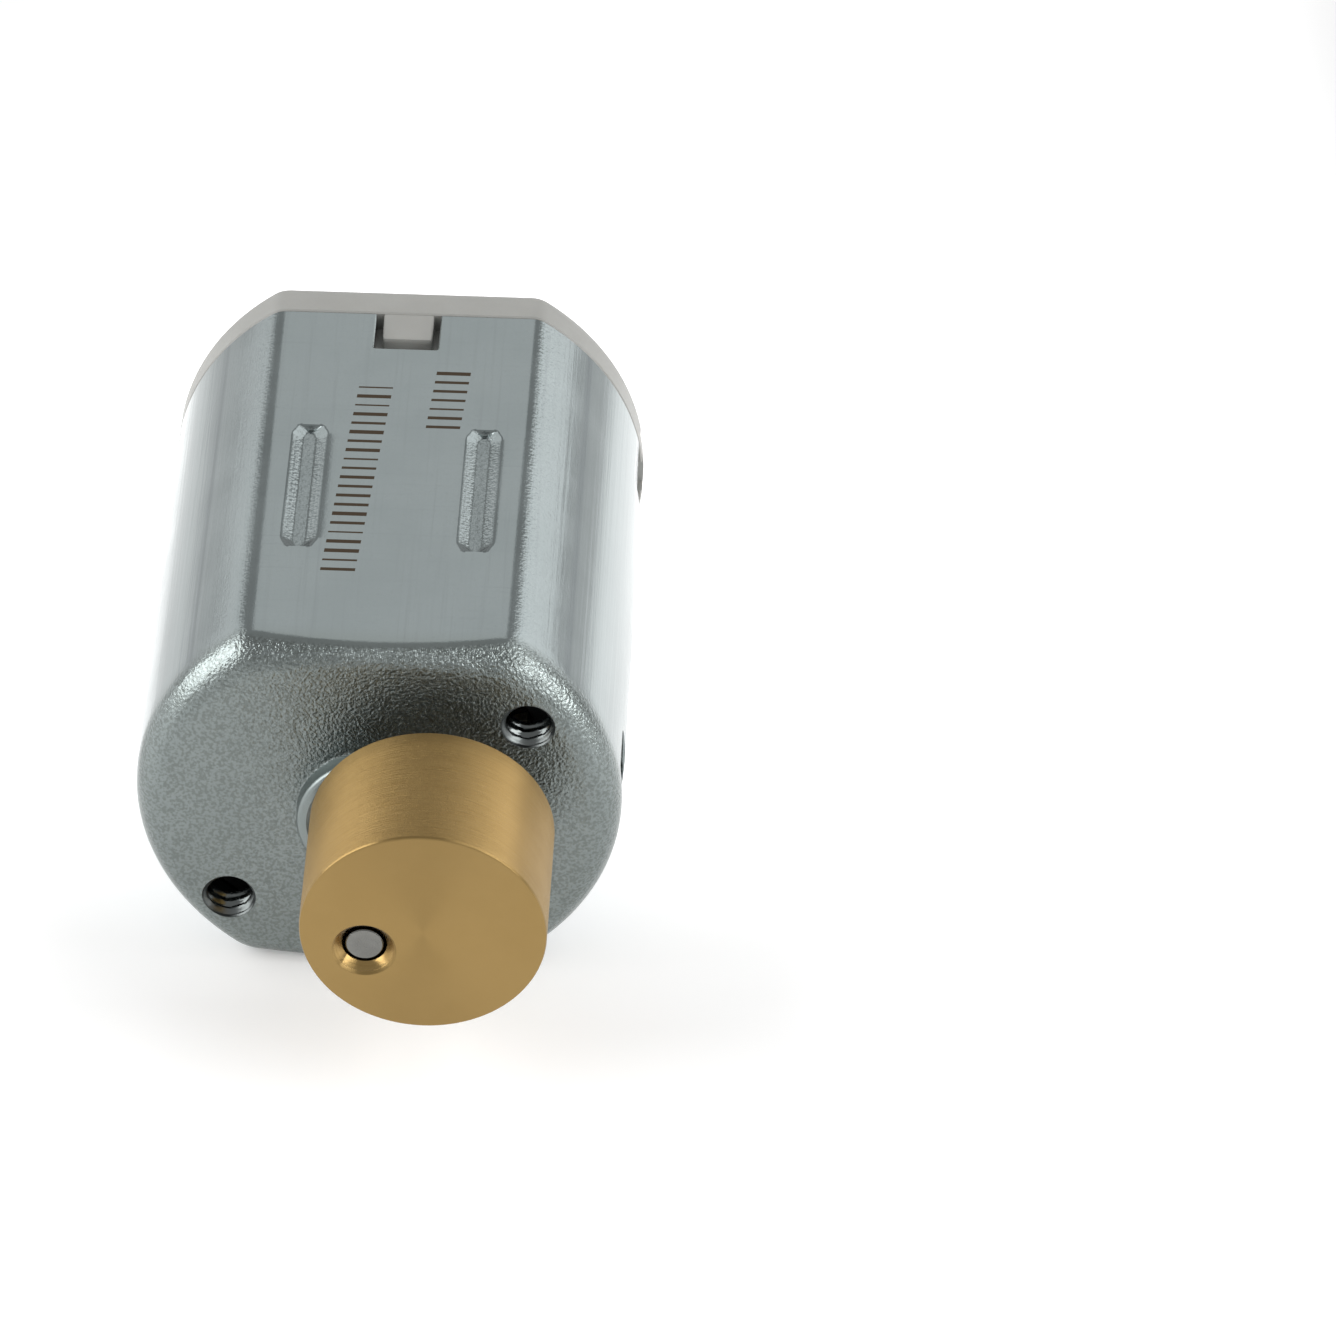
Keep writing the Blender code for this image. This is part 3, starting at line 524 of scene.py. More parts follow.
def plastic_material():
    """Grey moulded nylon with a fine eroded texture."""
    s = Shader("cap_nylon", roughness=0.42)
    cloud = s.noise(0.8, detail=3.0)
    grain = s.noise(14.0, detail=3.0, roughness=0.6)
    color = s.mix_color(s.remap(cloud, 0.3, 0.7), (0.275, 0.275, 0.26), (0.295, 0.295, 0.28))
    s.set("Base Color", color)
    s.set("Roughness", s.remap(grain, 0.3, 0.7, 0.38, 0.48))
    s.set("Normal", s.bump(grain, 0.006 * MM, strength=0.5))
    s.set("Subsurface Weight", 0.08)
    s.set("Subsurface Radius", (0.6 * MM, 0.5 * MM, 0.4 * MM))
    s.set("Subsurface Scale", 1.0)
    return s.material


def metal_material(name, dark, light, roughness, grain_scale=9.0, relief=0.004):
    """A plain metal with mottled colour, uneven gloss and a fine grain."""
    s = Shader(name, metallic=1.0)
    cloud = s.noise(1.4, detail=4.0)
    grain = s.noise(grain_scale, detail=4.0, roughness=0.65)
    s.set("Base Color", s.mix_color(s.remap(cloud, 0.3, 0.7), dark, light))
    s.set("Roughness", s.remap(grain, 0.3, 0.7, roughness - 0.06, roughness + 0.08))
    s.set("Normal", s.bump(grain, relief * MM, strength=0.6))
    return s.material


def dull_material(name, dark, light, roughness):
    """A plastic, ferrite or enamel surface with mottled colour and a fine grain."""
    s = Shader(name)
    cloud = s.noise(1.6, detail=4.0)
    grain = s.noise(9.0, detail=4.0, roughness=0.65)
    s.set("Base Color", s.mix_color(s.remap(cloud, 0.3, 0.7), dark, light))
    s.set("Roughness", s.remap(grain, 0.3, 0.7, roughness - 0.06, roughness + 0.06))
    s.set("Normal", s.bump(grain, 0.006 * MM, strength=0.6))
    return s.material


# ---------------------------------------------------------------------- the can


def case_outline(radius, half_height, crease):
    """The case's section, with columns close together where the flats are pressed.

    The flats meet the arcs in creases of their own radius. The points run from the top's middle
    round through +X, -Z and -X, so every outline has the same count.
    """
    centre_x = math.sqrt((radius - crease) ** 2 - (half_height - crease) ** 2)
    centre_z = half_height - crease
    arc_start = math.atan2(centre_z, centre_x)
    inner, outer = GROOVE_X - GROOVE_REACH, GROOVE_X + GROOVE_REACH
    flat = spaced(0.0, inner, 0.3 * MM) + spaced(inner, outer, 0.04 * MM)
    flat += [outer + (centre_x - outer) * step / 3 for step in range(3)]
    quarter = [(x, half_height) for x in flat]
    for step in range(6):
        angle = math.pi / 2 + (arc_start - math.pi / 2) * step / 6
        quarter.append((centre_x + crease * math.cos(angle), centre_z + crease * math.sin(angle)))
    arc_steps = 20
    for step in range(arc_steps):
        angle = arc_start * (1 - step / arc_steps)
        quarter.append((radius * math.cos(angle), radius * math.sin(angle)))
    side = [(radius, 0.0)]
    lower = [(x, -z) for x, z in quarter[::-1]]
    right = quarter + side + lower
    left = [(-x, z) for x, z in right[-2:0:-1]]
    return right + left


def press(x, y):
    """How far a flat's skin is pressed in at (x, y) by the two grooves."""
    if not GROOVE_FRONT < y < GROOVE_REAR:
        return 0.0
    to_end = min(y - GROOVE_FRONT, GROOVE_REAR - y)
    half = GROOVE_HALF_WIDTH * (GROOVE_TIP + (1 - GROOVE_TIP) * smoothstep(to_end / GROOVE_END))
    wall = min(max((half - abs(abs(x) - GROOVE_X)) / GROOVE_WALL + 0.5, 0.0), 1.0)
    return GROOVE_DEPTH * wall * smoothstep(to_end / GROOVE_SLOPE)


def crimp(y, z):
    """How far the can's side is pressed in beside its lugs, at the rear edge."""
    along = smoothstep((y - (REAR - CRIMP_LENGTH)) / (0.3 * MM))
    across = smoothstep((CRIMP_HALF_HEIGHT - abs(z)) / (0.25 * MM))
    return CRIMP_DEPTH * along * across


def crease_at(y):
    """The outer crease is softer towards the closed front of the can."""
    share = min(max((REAR - y) / (REAR - FRONT), 0.0), 1.0)
    return CREASE_RADIUS + (FRONT_CREASE_RADIUS - CREASE_RADIUS) * share


def formed(outline, y, half_height):
    """The outline with the grooves and the crimps pressed into it, at one place along the can."""
    points = []
    for x, z in outline:
        if abs(abs(z) - half_height) < 1e-9:
            z -= math.copysign(press(x, y), z)
        elif abs(z) < CRIMP_HALF_HEIGHT:
            x -= math.copysign(crimp(y, z), x)
        points.append((x, z))
    return points


def can_rows():
    """Places along the can, close together where the grooves and the crimps begin and end."""
    beside, fine = 0.05 * MM, 0.0125 * MM
    rows = spaced(FRONT + CORNER_RADIUS, GROOVE_FRONT - beside, 0.5 * MM)
    rows.append(GROOVE_FRONT - beside)
    rows += spaced(GROOVE_FRONT, GROOVE_FRONT + GROOVE_SLOPE, fine)
    rows += spaced(GROOVE_FRONT + GROOVE_SLOPE, GROOVE_FRONT + GROOVE_END, 0.06 * MM)
    rows += spaced(GROOVE_FRONT + GROOVE_END, GROOVE_REAR - GROOVE_END, 0.3 * MM)
    rows += spaced(GROOVE_REAR - GROOVE_END, GROOVE_REAR - GROOVE_SLOPE, 0.06 * MM)
    rows += spaced(GROOVE_REAR - GROOVE_SLOPE, GROOVE_REAR, fine)
    rows.append(GROOVE_REAR)
    rows += spaced(GROOVE_REAR + beside, REAR - CRIMP_LENGTH, 0.4 * MM)
    rows += spaced(REAR - CRIMP_LENGTH, REAR - CRIMP_LENGTH + 0.4 * MM, 0.08 * MM)
    rows += spaced(REAR - CRIMP_LENGTH + 0.4 * MM, REAR - EDGE, 0.4 * MM)
    return rows


def rounded_front(radius, half_height, crease, start, corner, steps, bow=0.0):
    """Sections from a face back over its rounded edge, without the full section itself.

    With a bow, the rounding is tighter by that much in the middle of each flat.
    """
    sections = []
    for step in range(steps):
        angle = math.pi / 2 * step / steps
        inset = corner * (1 - math.sin(angle))
        depth = corner * (1 - math.cos(angle))
        outline = case_outline(radius - inset, half_height - inset, crease)
        reach = max(x for x, z in outline if abs(abs(z) - half_height + inset) < 1e-9)
        bowed = []
        for x, z in outline:
            if bow and abs(x) < reach:
                tight = corner - bow * (1 - (x / reach) ** 2)
                ahead = max(tight - depth, 0.0)
                drop = tight - math.sqrt(tight * tight - ahead * ahead)
                z = math.copysign(half_height - drop, z) if abs(z) > half_height - 1.5 * inset else z
            bowed.append((x, z))
        sections.append((start + depth, bowed))
    return sections


def can_body():
    """The drawn cup: outer skin from the face to the rear edge, and the inner skin back again."""
    outside = rounded_front(
        CAN_RADIUS, CAN_HALF_HEIGHT, FRONT_CREASE_RADIUS, FRONT, CORNER_RADIUS, 10, bow=0.35 * MM
    )
    for y in can_rows() + [REAR - EDGE]:
        outline = case_outline(CAN_RADIUS, CAN_HALF_HEIGHT, crease_at(y))
        outside.append((y, formed(outline, y, CAN_HALF_HEIGHT)))
    trimmed = case_outline(CAN_RADIUS - EDGE, CAN_HALF_HEIGHT - EDGE, CREASE_RADIUS)
    outside.append((REAR, formed(trimmed, REAR, CAN_HALF_HEIGHT - EDGE)))

    radius, half_height = CAN_RADIUS - SHEET, CAN_HALF_HEIGHT - SHEET
    inside = rounded_front(
        radius, half_height, INNER_CREASE_RADIUS, FRONT + SHEET, INNER_CORNER_RADIUS, 3
    )
    outline = case_outline(radius, half_height, INNER_CREASE_RADIUS)
    inside += [(y, formed(outline, y, half_height)) for y in can_rows()]
    inside.append((REAR, formed(outline, REAR, half_height)))
    bm = bmesh.new()
    add_loft(bm, outside + inside[::-1])
    return bm


def can_additions():
    """The bearing boss, the collars inside the tapped holes and the two bent lugs."""
    bm = bmesh.new()
    top = FRONT - BOSS_HEIGHT
    round_edge = 0.13 * MM
    profile = [(FRONT + SHEET / 2, BOSS_RADIUS + 0.07 * MM), (FRONT, BOSS_RADIUS + 0.07 * MM)]
    profile += [(FRONT - 0.03 * MM, BOSS_RADIUS + 0.02 * MM), (FRONT - 0.08 * MM, BOSS_RADIUS)]
    for step in range(6):
        angle = math.pi / 2 * step / 5
        profile.append(
            (
                top + round_edge * (1 - math.sin(angle)),
                BOSS_RADIUS - round_edge * (1 - math.cos(angle)),
            )
        )
    add_turned(bm, profile, 96)
    for side in (1, -1):
        hole = (side * TAPPED_HOLE_X, side * TAPPED_HOLE_Z)
        inner_end = FRONT + SHEET + COLLAR_DEPTH
        collar = [(FRONT + SHEET / 2, COLLAR_RADIUS), (inner_end - 0.1 * MM, COLLAR_RADIUS)]
        collar.append((inner_end, COLLAR_RADIUS - 0.1 * MM))
        add_turned(bm, collar, 40, *hole)
        lug = []
        # How far behind the can's rear edge, inner and outer x, and half height, in millimetres.
        for back, inner, outer, half in (
            (-0.5, 5.54, 5.84, 0.43),
            (0.0, 5.44, 5.87, 0.43),
            (0.35, 5.42, 5.86, 0.43),
            (0.7, 5.40, 5.84, 0.43),
            (0.85, 5.43, 5.80, 0.38),
        ):
            middle, width = side * (inner + outer) / 2 * MM, (outer - inner) / 2 * MM
            lug.append((REAR + back * MM, rounded_box(width, half * MM, 0.04 * MM, middle)))
        add_loft(bm, lug)
    return make_piece("can_additions", bm)


def thread_cutter(bm, x, z):
    """A tapped hole's negative: a helical thread with a countersunk mouth."""
    steps, rows_per_pitch = 32, 8
    start, end = FRONT - 0.1 * MM, FRONT + SHEET + COLLAR_DEPTH + 0.1 * MM
    count = math.ceil((end - start) / THREAD_PITCH * rows_per_pitch)
    rings = []
    for row in range(count + 1):
        y = start + (end - start) * row / count
        ring = []
        for step in range(steps):
            turn = step / steps
            phase = (y / THREAD_PITCH - turn) % 1.0
            tooth = 1 - abs(2 * phase - 1)
            radius = THREAD_MINOR + (THREAD_MAJOR - THREAD_MINOR) * smoothstep(tooth)
            mouth = THREAD_MAJOR + 0.02 * MM - max(y - FRONT, 0.0)
            radius = max(radius, mouth)
            angle = 2 * math.pi * turn
            ring.append(bm.verts.new((x + radius * math.cos(angle), y, z + radius * math.sin(angle))))
        rings.append(ring)
    bm.faces.new(rings[0])
    bm.faces.new(rings[-1][::-1])
    for first, second in zip(rings, rings[1:]):
        for i in range(steps):
            j = (i + 1) % steps
            bm.faces.new((first[i], second[i], second[j], first[j]))


def can_cuts():
    """The bearing bore, tapped holes, side windows and the notches in the rear edge."""
    bm = bmesh.new()
    top = FRONT - BOSS_HEIGHT
    add_turned(
        bm,
        [
            (top - OVERSHOOT, BEARING_SEAT + 0.09 * MM),
            (top, BEARING_SEAT + 0.09 * MM),
            (top + 0.07 * MM, BEARING_SEAT),
            (FRONT + SHEET + OVERSHOOT, BEARING_SEAT),
        ],
        96,
    )
    for side in (1, -1):
        thread_cutter(bm, side * TAPPED_HOLE_X, side * TAPPED_HOLE_Z)
        add_pocket(
            bm,
            lambda grow: rounded_box(
                WINDOW_HALF_LENGTH + grow, WINDOW_HALF_HEIGHT + grow, 0.2 * MM, WINDOW_Y, 0.0
            ),
            mouth=side * (CAN_RADIUS - 0.01 * MM),
            floor=side * (CAN_RADIUS - SHEET - 0.4 * MM),
            beyond=OVERSHOOT,
            axis="X",
        )
        add_pocket(
            bm,
            lambda grow: rounded_box(
                NOTCH_HALF_WIDTH + grow,
                NOTCH_LENGTH + OVERSHOOT + grow,
                0.1 * MM,
                0.0,
                REAR + OVERSHOOT,
            ),
            mouth=side * CAN_HALF_HEIGHT,
            floor=side * (CAN_HALF_HEIGHT - SHEET - 0.4 * MM),
            beyond=OVERSHOOT,
            axis="Z",
            edge=0.03 * MM,
        )
    return make_piece("can_cuts", bm)


def build_can(material):
    can = make_piece("can_shell", can_body(), material)
    apply_booleans(can, ("UNION", can_additions()), ("DIFFERENCE", can_cuts()))
    weight_normals(can)
    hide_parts("can")
    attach(can, "housing")


# ------------------------------------------------------------------- the endcap


def cap_body():
    """Rim flush with the can, a rounded rear edge and the spigot inside the can."""
    start = REAR + FIT_GAP
    edge = 0.5 * MM
    sections = []
    for y, outline in rounded_front(CAN_RADIUS, CAN_HALF_HEIGHT, CREASE_RADIUS, 0.0, edge, 9):
        sections.append((CAP_FACE - y, outline))
    full = case_outline(CAN_RADIUS, CAN_HALF_HEIGHT, CREASE_RADIUS)
    eased = case_outline(CAN_RADIUS - EDGE, CAN_HALF_HEIGHT - EDGE, CREASE_RADIUS)
    sections += [(CAP_FACE - edge, full), (start + EDGE, full), (start, eased)]
    radius, half_height = CAN_RADIUS - SHEET - FIT_GAP, CAN_HALF_HEIGHT - SHEET - FIT_GAP
    spigot = case_outline(radius, half_height, INNER_CREASE_RADIUS)
    led_in = case_outline(radius - 0.15 * MM, half_height - 0.15 * MM, INNER_CREASE_RADIUS)
    sections += [(start, spigot), (CAP_LOW.y + 0.2 * MM, spigot), (CAP_LOW.y, led_in)]
    bm = bmesh.new()
    add_loft(bm, sections)
    return bm


def cap_additions():
    """The bearing boss and the two tabs that sit in the can's notches."""
    bm = bmesh.new()
    top = CAP_HIGH.y
    radius, round_edge = CAP_BOSS_RADIUS, 0.28 * MM
    profile = [(CAP_FACE - OVERSHOOT, radius + 0.1 * MM), (CAP_FACE, radius + 0.1 * MM)]
    profile += [(CAP_FACE + 0.03 * MM, radius + 0.04 * MM), (CAP_FACE + 0.1 * MM, radius + 0.01 * MM)]
    for step in range(8):
        angle = math.pi / 2 * step / 7
        profile.append(
            (top - round_edge * (1 - math.sin(angle)), radius - round_edge * (1 - math.cos(angle)))
        )
    add_turned(bm, profile, 96)
    for side in (1, -1):
        tab = []
        # How far behind the can's rear edge, inside its flat, and half width, in millimetres.
        for back, drop, half in (
            (0.3, 0.04, 0.64),
            (0.0, 0.05, 0.64),
            (-0.2, 0.1, 0.64),
            (-0.76, 0.15, 0.63),
            (-0.83, 0.18, 0.61),
            (-0.85, 0.24, 0.58),
        ):
            top = side * (CAN_HALF_HEIGHT - drop * MM)
            low = side * (CAN_HALF_HEIGHT - SHEET - 0.3 * MM)
            section = rounded_box(half * MM, abs(top - low) / 2, 0.06 * MM, 0.0, (top + low) / 2)
            tab.append((REAR + back * MM, section))
        add_loft(bm, tab)
    return make_piece("cap_additions", bm)


def cap_cuts():
    """Brush chamber, bearing seat, gate mark, dishes, lug pockets and terminal slots."""
    bm = bmesh.new()
    floor = REAR - 0.7 * MM
    add_turned(
        bm,
        [
            (CAP_LOW.y - OVERSHOOT, BRUSH_CHAMBER),
            (floor, BRUSH_CHAMBER),
            (floor, CAP_SEAT),
            (CAP_HIGH.y - SHEET, CAP_SEAT),
        ],
        64,
    )
    add_pocket(
        bm,
        lambda grow: circle(GATE_RADIUS + grow, 32, 0.0, GATE_Z),
        mouth=CAP_HIGH.y,
        floor=CAP_HIGH.y - 0.35 * MM,
        beyond=OVERSHOOT,
    )
    for radius, x, z in MARK_DISHES:
        add_pocket(
            bm,
            lambda grow, r=radius, x=x, z=z: circle(r + 1.4 * grow, 56, x, z),
            mouth=CAP_FACE,
            floor=CAP_FACE - MARK_DEPTH,
            beyond=0.15 * MM,
            edge=0.05 * MM,
        )
    for side in (1, -1):
        add_pocket(
            bm,
            lambda grow, s=side: rounded_box(
                1.0 * MM + grow, 1.0 * MM + grow, 0.14 * MM, s * LUG_POCKET_X, 0.0
            ),
            mouth=CAP_FACE,
            floor=CAP_FACE - 0.75 * MM,
            beyond=OVERSHOOT,
        )
        lug_way = rounded_box(0.5 * MM, 0.47 * MM, 0.04 * MM, side * LUG_WAY_X, 0.0)
        add_loft(bm, [(REAR - OVERSHOOT * 2, lug_way), (CAP_FACE - 0.76 * MM, lug_way)])
        add_pocket(
            bm,
            lambda grow, s=side: rounded_box(
                0.22 * MM + grow, 0.93 * MM + grow, 0.05 * MM, s * TERMINAL_X, 0.0
            ),
            mouth=CAP_FACE,
            floor=CAP_LOW.y - OVERSHOOT / 2,
            beyond=OVERSHOOT,
        )
    return make_piece("cap_cuts", bm)


def cap_marks():
    """A raised plus sign and a raised dot, each with sloping sides."""
    bm = bmesh.new()

    def plus(grow):
        w, a = 0.2 * MM + grow, 0.72 * MM + grow
        corner = [(-w, -a), (w, -a), (w, -w), (a, -w), (a, w), (w, w)]
        return [(MARK_X + x, MARK_Z + z) for x, z in corner + [(-x, -z) for x, z in corner]]

    def dot(grow):
        return circle(0.22 * MM + grow, 32, -MARK_X, MARK_Z)

    top = CAP_FACE - 0.02 * MM
    for outline in (plus, dot):
        sections = [
            (CAP_FACE - 2 * MARK_DEPTH, outline(0.03 * MM)),
            (top - 0.03 * MM, outline(0.01 * MM)),
            (top, outline(-0.02 * MM)),
        ]
        add_loft(bm, sections)
    return make_piece("cap_marks", bm)


def build_endcap(material):
    cap = make_piece("endcap_moulding", cap_body(), material)
    apply_booleans(
        cap, ("UNION", cap_additions()), ("DIFFERENCE", cap_cuts()), ("UNION", cap_marks())
    )
    weight_normals(cap)
    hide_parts("endcap")
    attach(cap, "housing")


# ------------------------------------------------------- weight, shaft, bearings


def build_weight(material):
    """The brass cylinder, bored off centre, with its edges broken and its bore countersunk."""
    radius = (WEIGHT_HIGH.x - WEIGHT_LOW.x) / 2
    centre = ((WEIGHT_HIGH.x + WEIGHT_LOW.x) / 2, (WEIGHT_HIGH.z + WEIGHT_LOW.z) / 2 - AXIS_Z)
    front, rear = WEIGHT_LOW.y, WEIGHT_HIGH.y
    c = 0.07 * MM
    bm = bmesh.new()
    profile = [(front, radius - c), (front + 0.3 * c, radius - 0.3 * c), (front + c, radius)]
    profile += [(y, radius) for y in spaced(front + 1.5 * c, rear - 1.5 * c, 0.5 * MM)]
    profile += [(rear - c, radius), (rear - 0.3 * c, radius - 0.3 * c), (rear, radius - c)]
    add_turned(bm, profile, 160, *centre)
    weight = make_piece("weight_body", bm, material)
    bm = bmesh.new()
    add_turned(
        bm,
        [
            (front - OVERSHOOT, COUNTERSINK_RADIUS + 0.015 * MM),
            (front, COUNTERSINK_RADIUS + 0.015 * MM),
            (front + 0.015 * MM, COUNTERSINK_RADIUS - 0.01 * MM),
            (front + COUNTERSINK_DEPTH, WEIGHT_BORE),
            (rear + OVERSHOOT, WEIGHT_BORE),
        ],
        72,
    )
    apply_booleans(weight, ("DIFFERENCE", make_piece("weight_bore", bm)))
    weight_normals(weight)
    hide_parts("eccentric_weight")
    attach(weight, "rotor")


def build_shaft(material):
    """The shaft, tapering slightly at its front end, with both edges broken."""
    start, end = SHAFT_LOW.y, SHAFT_HIGH.y
    radius, c = SHAFT_RADIUS, 0.05 * MM
    bm = bmesh.new()
    profile = [(start, radius - 1.3 * c), (start + 0.4 * c, radius - 0.8 * c), (start + 5 * c, radius)]
    profile += [(end - c, radius), (end - 0.3 * c, radius - 0.3 * c), (end, radius - c)]
    add_turned(bm, profile, 56)
    shaft = make_piece("shaft_pin", bm, material)
    weight_normals(shaft)
    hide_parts("shaft")
    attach(shaft, "rotor")


def build_bearing(name, node, material):
    """A sintered bush with broken edges."""
    low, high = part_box(node)
    outer = high.x
    bore, c = BEARING_BORE, 0.08 * MM
    bm = bmesh.new()
    profile = [(low.y, bore + c), (low.y, outer - c), (low.y + c, outer), (high.y - c, outer)]
    profile += [(high.y, outer - c), (high.y, bore + c), (high.y - c, bore), (low.y + c, bore)]
    add_turned_ring(bm, profile, 72)
    bush = make_piece(name, bm, material)
    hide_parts(node)
    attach(bush, "housing")


# -------------------------------------------------------- terminals and windings


def build_terminal(name, node, material):
    """A stamped blade with broken edges, a rounded end and an eyelet."""
    low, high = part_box(node)
    root_half = 0.85 * MM
    top, bottom = 0.1 * MM, -0.9 * MM
    middle, half = (top + bottom) / 2, (top - bottom) / 2
    shoulder = CAP_FACE - 0.25 * MM
    plan = [(low.y, -root_half), (shoulder, -root_half), (shoulder + 0.1 * MM, bottom)]
    for step in range(17):
        angle = math.pi * (step / 16 - 0.5)
        plan.append((high.y - half * (1 - math.cos(angle)), middle + half * math.sin(angle)))
    plan += [(shoulder + 0.1 * MM, top), (shoulder, root_half), (low.y, root_half)]
    bm = bmesh.new()
    add_loft(bm, [(low.x, plan), (high.x, plan)], "X")
    terminal = make_piece(name, bm, material)
    bm = bmesh.new()
    eyelet = circle(EYELET_RADIUS, 32, high.y - half, middle)
    add_loft(bm, [(low.x - OVERSHOOT, eyelet), (high.x + OVERSHOOT, eyelet)], "X")
    apply_booleans(terminal, ("DIFFERENCE", make_piece(f"{name}_eyelet", bm)))
    add_bevel(terminal, 0.03 * MM)
    weight_normals(terminal)
    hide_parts(node)
    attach(terminal, "housing")


def scalloped(start, end, across, outward, wires):
    """Points along one side of a coil's section, bulging over each wire."""
    points = []
    for wire in range(wires):
        for step in range(4):
            share = step / 4
            bulge = math.sin(math.pi * share) * (end - start) / wires * 0.4
            along = start + (end - start) * (wire + share) / wires
            points.append((along, across + outward * bulge))
    return points


def build_winding(name, node, pole, material):
    """A coil around one pole's arm, whose section shows its layers of wire."""
    near, far = 1.52 * MM, 2.6 * MM
    inner_half, outer_half = 0.84 * MM, 1.72 * MM
    low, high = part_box("lamination_01")[0].y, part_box("lamination_10")[1].y
    middle_y = (low + high) / 2
    inner_length = (high - low) / 2 + 0.37 * MM
    growth_max = outer_half - inner_half
    section = scalloped(near, far, growth_max, 1, 8)
    ends = scalloped(growth_max, 0.0, far, 1, 6)
    section = section + [(d, g) for g, d in ends]
    section += [(far - (far - near) * i / 4, 0.0) for i in range(4)]
    section += [(2 * near - d, g) for g, d in scalloped(0.0, growth_max, near, 1, 6)]
    path_steps = 6
    angle = math.pi / 2 + 2 * math.pi * pole / 3
    cosine, sine = math.cos(angle), math.sin(angle)
    bm = bmesh.new()
    rings = []
    for quarter, (su, sv) in enumerate(((1, 1), (-1, 1), (-1, -1), (1, -1))):
        for step in range(path_steps + 1):
            turn = math.pi / 2 * (quarter + step / path_steps)
            ring = []
            for distance, grow in section:
                corner = 0.15 * MM + grow
                across = su * (inner_half - 0.15 * MM) + corner * math.cos(turn)
                along = sv * (inner_length - 0.15 * MM) + corner * math.sin(turn)
                x = distance * cosine - across * sine
                z = distance * sine + across * cosine
                ring.append(bm.verts.new((x, middle_y + along, z)))
            rings.append(ring)
    for first, second in zip(rings, rings[1:] + rings[:1]):
        for i in range(len(section)):
            j = (i + 1) % len(section)
            bm.faces.new((first[i], first[j], second[j], second[i]))
    coil = make_piece(name, bm, material, smooth_angle=50)
    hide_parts(node)
    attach(coil, "rotor")


# --------------------------------------------------------------- stage and light


def build_floor():
    """A pale floor with painted shade, its colour darker far from the motor, and a glowing patch around and behind
    it.
    """
    s = Shader("pale_floor", roughness=0.6)
    # Painted shade: the floor's colour falls from pale grey near the motor to a darker grey far from it.
    far = s.remap(s.distance(s.x, s.y), *FLOOR_FADE)
    near_color = s.mix_color(s.noise(0.05, detail=2.0), (0.91, 0.91, 0.91), (0.92, 0.92, 0.92))
    s.set("Base Color", s.mix_color(far, near_color, (0.62, 0.62, 0.62)))
    across = s.math("MULTIPLY", s.remap(s.x, *STRIP_LEFT), s.remap(s.x, *STRIP_RIGHT, 1.0, 0.0))
    behind = s.math("MULTIPLY", s.remap(s.y, *STRIP_NEAR), s.remap(s.y, *STRIP_FAR, 1.0, 0.0))
    s.set("Emission Color", (1.0, 1.0, 1.0, 1.0))
    s.set("Emission Strength", s.math("MULTIPLY_ADD", s.math("MULTIPLY", across, behind), 0.5, 0.1))
    bm = bmesh.new()
    bmesh.ops.create_grid(bm, x_segments=1, y_segments=1, size=FLOOR_HALF_SIZE)
    mesh = bpy.data.meshes.new("floor")
    bm.to_mesh(mesh)
    bm.free()
    mesh.materials.append(s.material)
    floor = bpy.data.objects.new("floor", mesh)
    bpy.context.scene.collection.objects.link(floor)


def build_world():
    """An even white surround, and colours shown without tone mapping."""
    world = bpy.data.worlds.new("studio")
    world.use_nodes = True
    background = world.node_tree.nodes["Background"]
    background.inputs["Color"].default_value = (1.0, 1.0, 1.0, 1.0)
    background.inputs["Strength"].default_value = 0.5
    bpy.context.scene.world = world
    bpy.context.scene.view_settings.view_transform = "Standard"


def add_softbox(name, azimuth, elevation, width, height, brightness):
    """A panel light facing the motor, given in degrees; azimuth runs from the rear to the right."""
    data = bpy.data.lights.new(name, "AREA")
    data.shape = "RECTANGLE"
    data.size = 2 * SOFTBOX_DISTANCE * math.tan(math.radians(width / 2))
    data.size_y = 2 * SOFTBOX_DISTANCE * math.tan(math.radians(height / 2))
    data.energy = brightness * math.pi * data.size * data.size_y
    light = bpy.data.objects.new(name, data)
    across, up = math.radians(azimuth), math.radians(elevation)
    toward = Vector((math.sin(across) * math.cos(up), math.cos(across) * math.cos(up), math.sin(up)))
    light.location = toward * SOFTBOX_DISTANCE + Vector((0.0, 0.0, AXIS_Z))
    light.rotation_euler = toward.to_track_quat("Z", "Y").to_euler()
    bpy.context.scene.collection.objects.link(light)


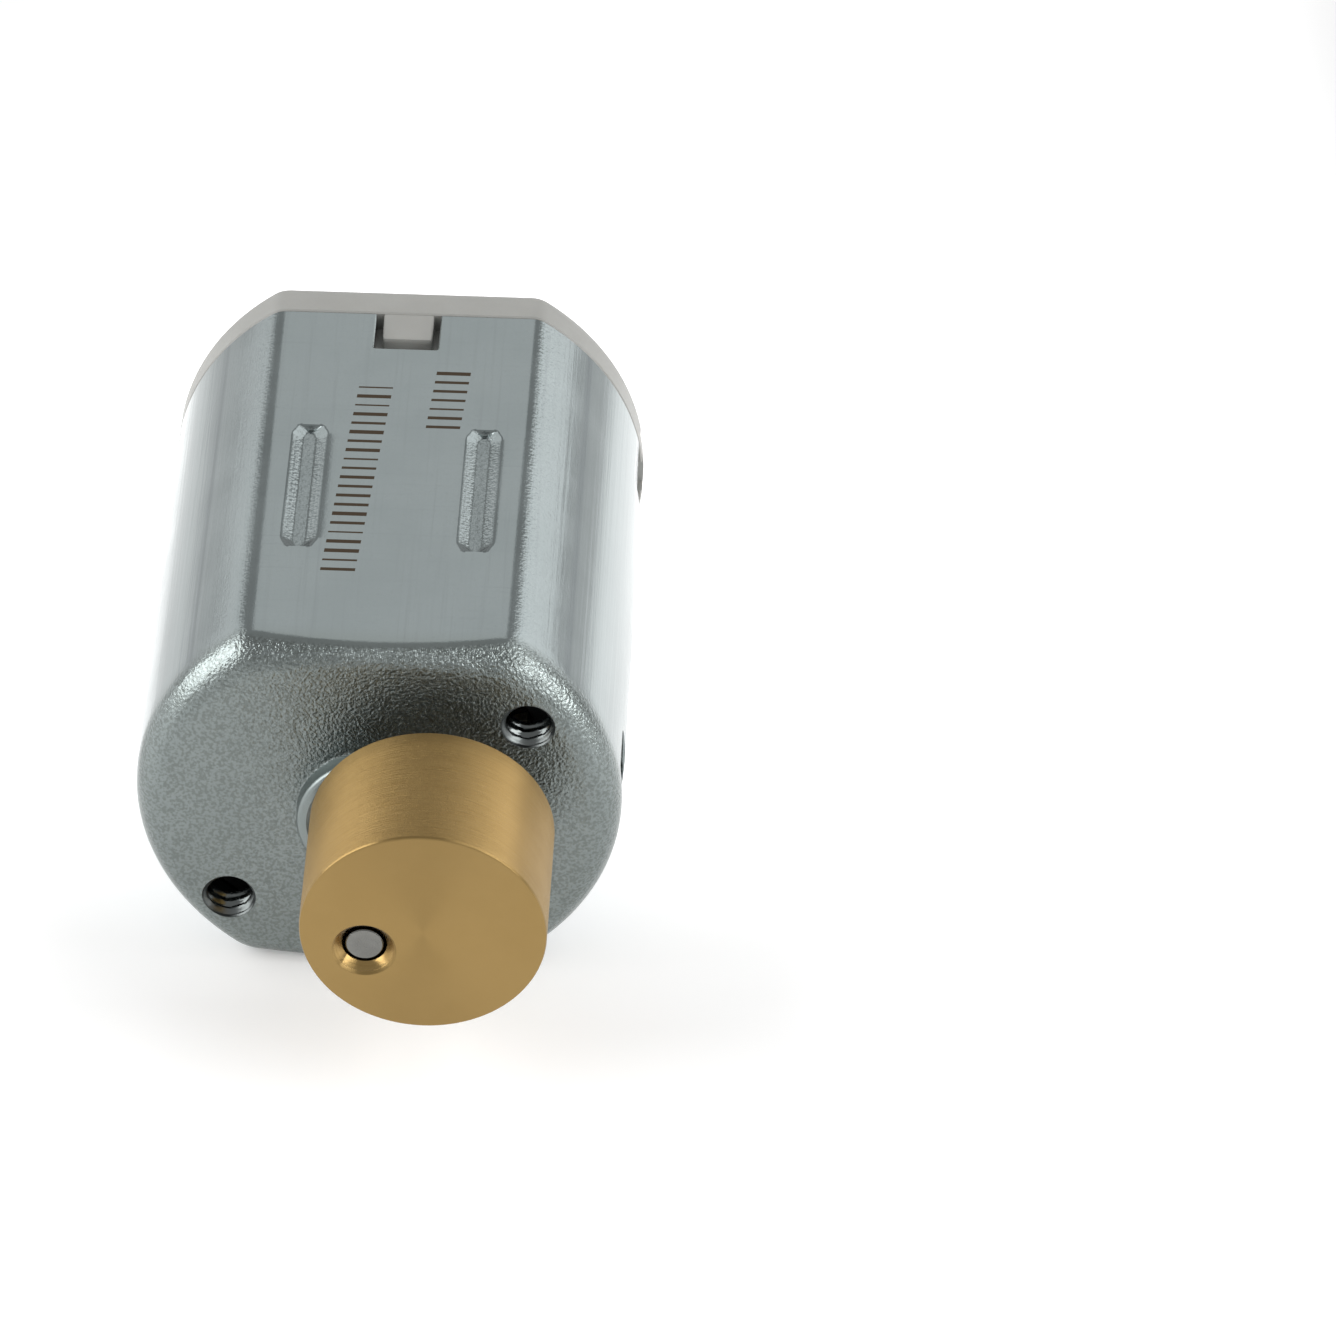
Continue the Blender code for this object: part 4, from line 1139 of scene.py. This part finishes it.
def build_camera():
    """A long lens in front of the motor and above it."""
    data = bpy.data.cameras.new("camera")
    data.sensor_width = 36.0
    data.lens = 248.64
    data.clip_start = 0.01
    data.clip_end = 10.0
    camera = bpy.data.objects.new("camera", data)
    camera.location = Vector((11.96, -180.86, 150.78)) * MM
    camera.rotation_euler = [math.radians(angle) for angle in (51.002, -0.683, 2.151)]
    bpy.context.scene.collection.objects.link(camera)
    bpy.context.scene.camera = camera


def finish_cad_nodes():
    """Procedural materials for the CAD nodes that stay."""
    magnet = dull_material("magnet_ferrite", (0.03, 0.03, 0.033), (0.06, 0.06, 0.064), 0.5)
    steel = metal_material("core_steel", (0.26, 0.27, 0.28), (0.36, 0.36, 0.37), 0.38)
    nylon = dull_material("rotor_nylon", (0.62, 0.58, 0.46), (0.7, 0.66, 0.55), 0.45)
    copper = metal_material("bare_copper", (0.62, 0.28, 0.15), (0.74, 0.38, 0.22), 0.28)
    for start, material in (
        ("magnet", magnet),
        ("lamination", steel),
        ("insulator", nylon),
        ("commutator_segment", copper),
        ("commutator_hub", nylon),
        ("commutator_ring", nylon),
        ("thrust_washer", nylon),
        ("brush", copper),
    ):
        for name, node in frame["nodes"].items():
            if name.startswith(start):
                node.data.materials.clear()
                node.data.materials.append(material)


def main():
    build_can(zinc_material())
    build_endcap(plastic_material())
    build_weight(brass_material())
    ground = metal_material("shaft_steel", (0.17, 0.17, 0.16), (0.21, 0.21, 0.197), 0.22, relief=0.001)
    build_shaft(ground)
    bronze = metal_material("sintered_bronze", (0.20, 0.12, 0.06), (0.36, 0.24, 0.13), 0.5, 14.0, 0.01)
    build_bearing("front_bush", "front_bearing", bronze)
    build_bearing("rear_bush", "rear_bearing", bronze)
    tinned = metal_material("tinned_blade", (0.42, 0.40, 0.36), (0.55, 0.53, 0.49), 0.3)
    for word in ("positive", "negative"):
        build_terminal(f"solder_blade_{word}", f"terminal_{word}", tinned)
    enamel = dull_material("enamelled_wire", (0.34, 0.07, 0.015), (0.45, 0.11, 0.025), 0.25)
    for pole in range(3):
        build_winding(f"coil_{pole + 1}", f"winding_{pole + 1}", pole, enamel)
    finish_cad_nodes()
    build_floor()
    build_world()
    for softbox in SOFTBOXES:
        add_softbox(*softbox)
    build_camera()


main()
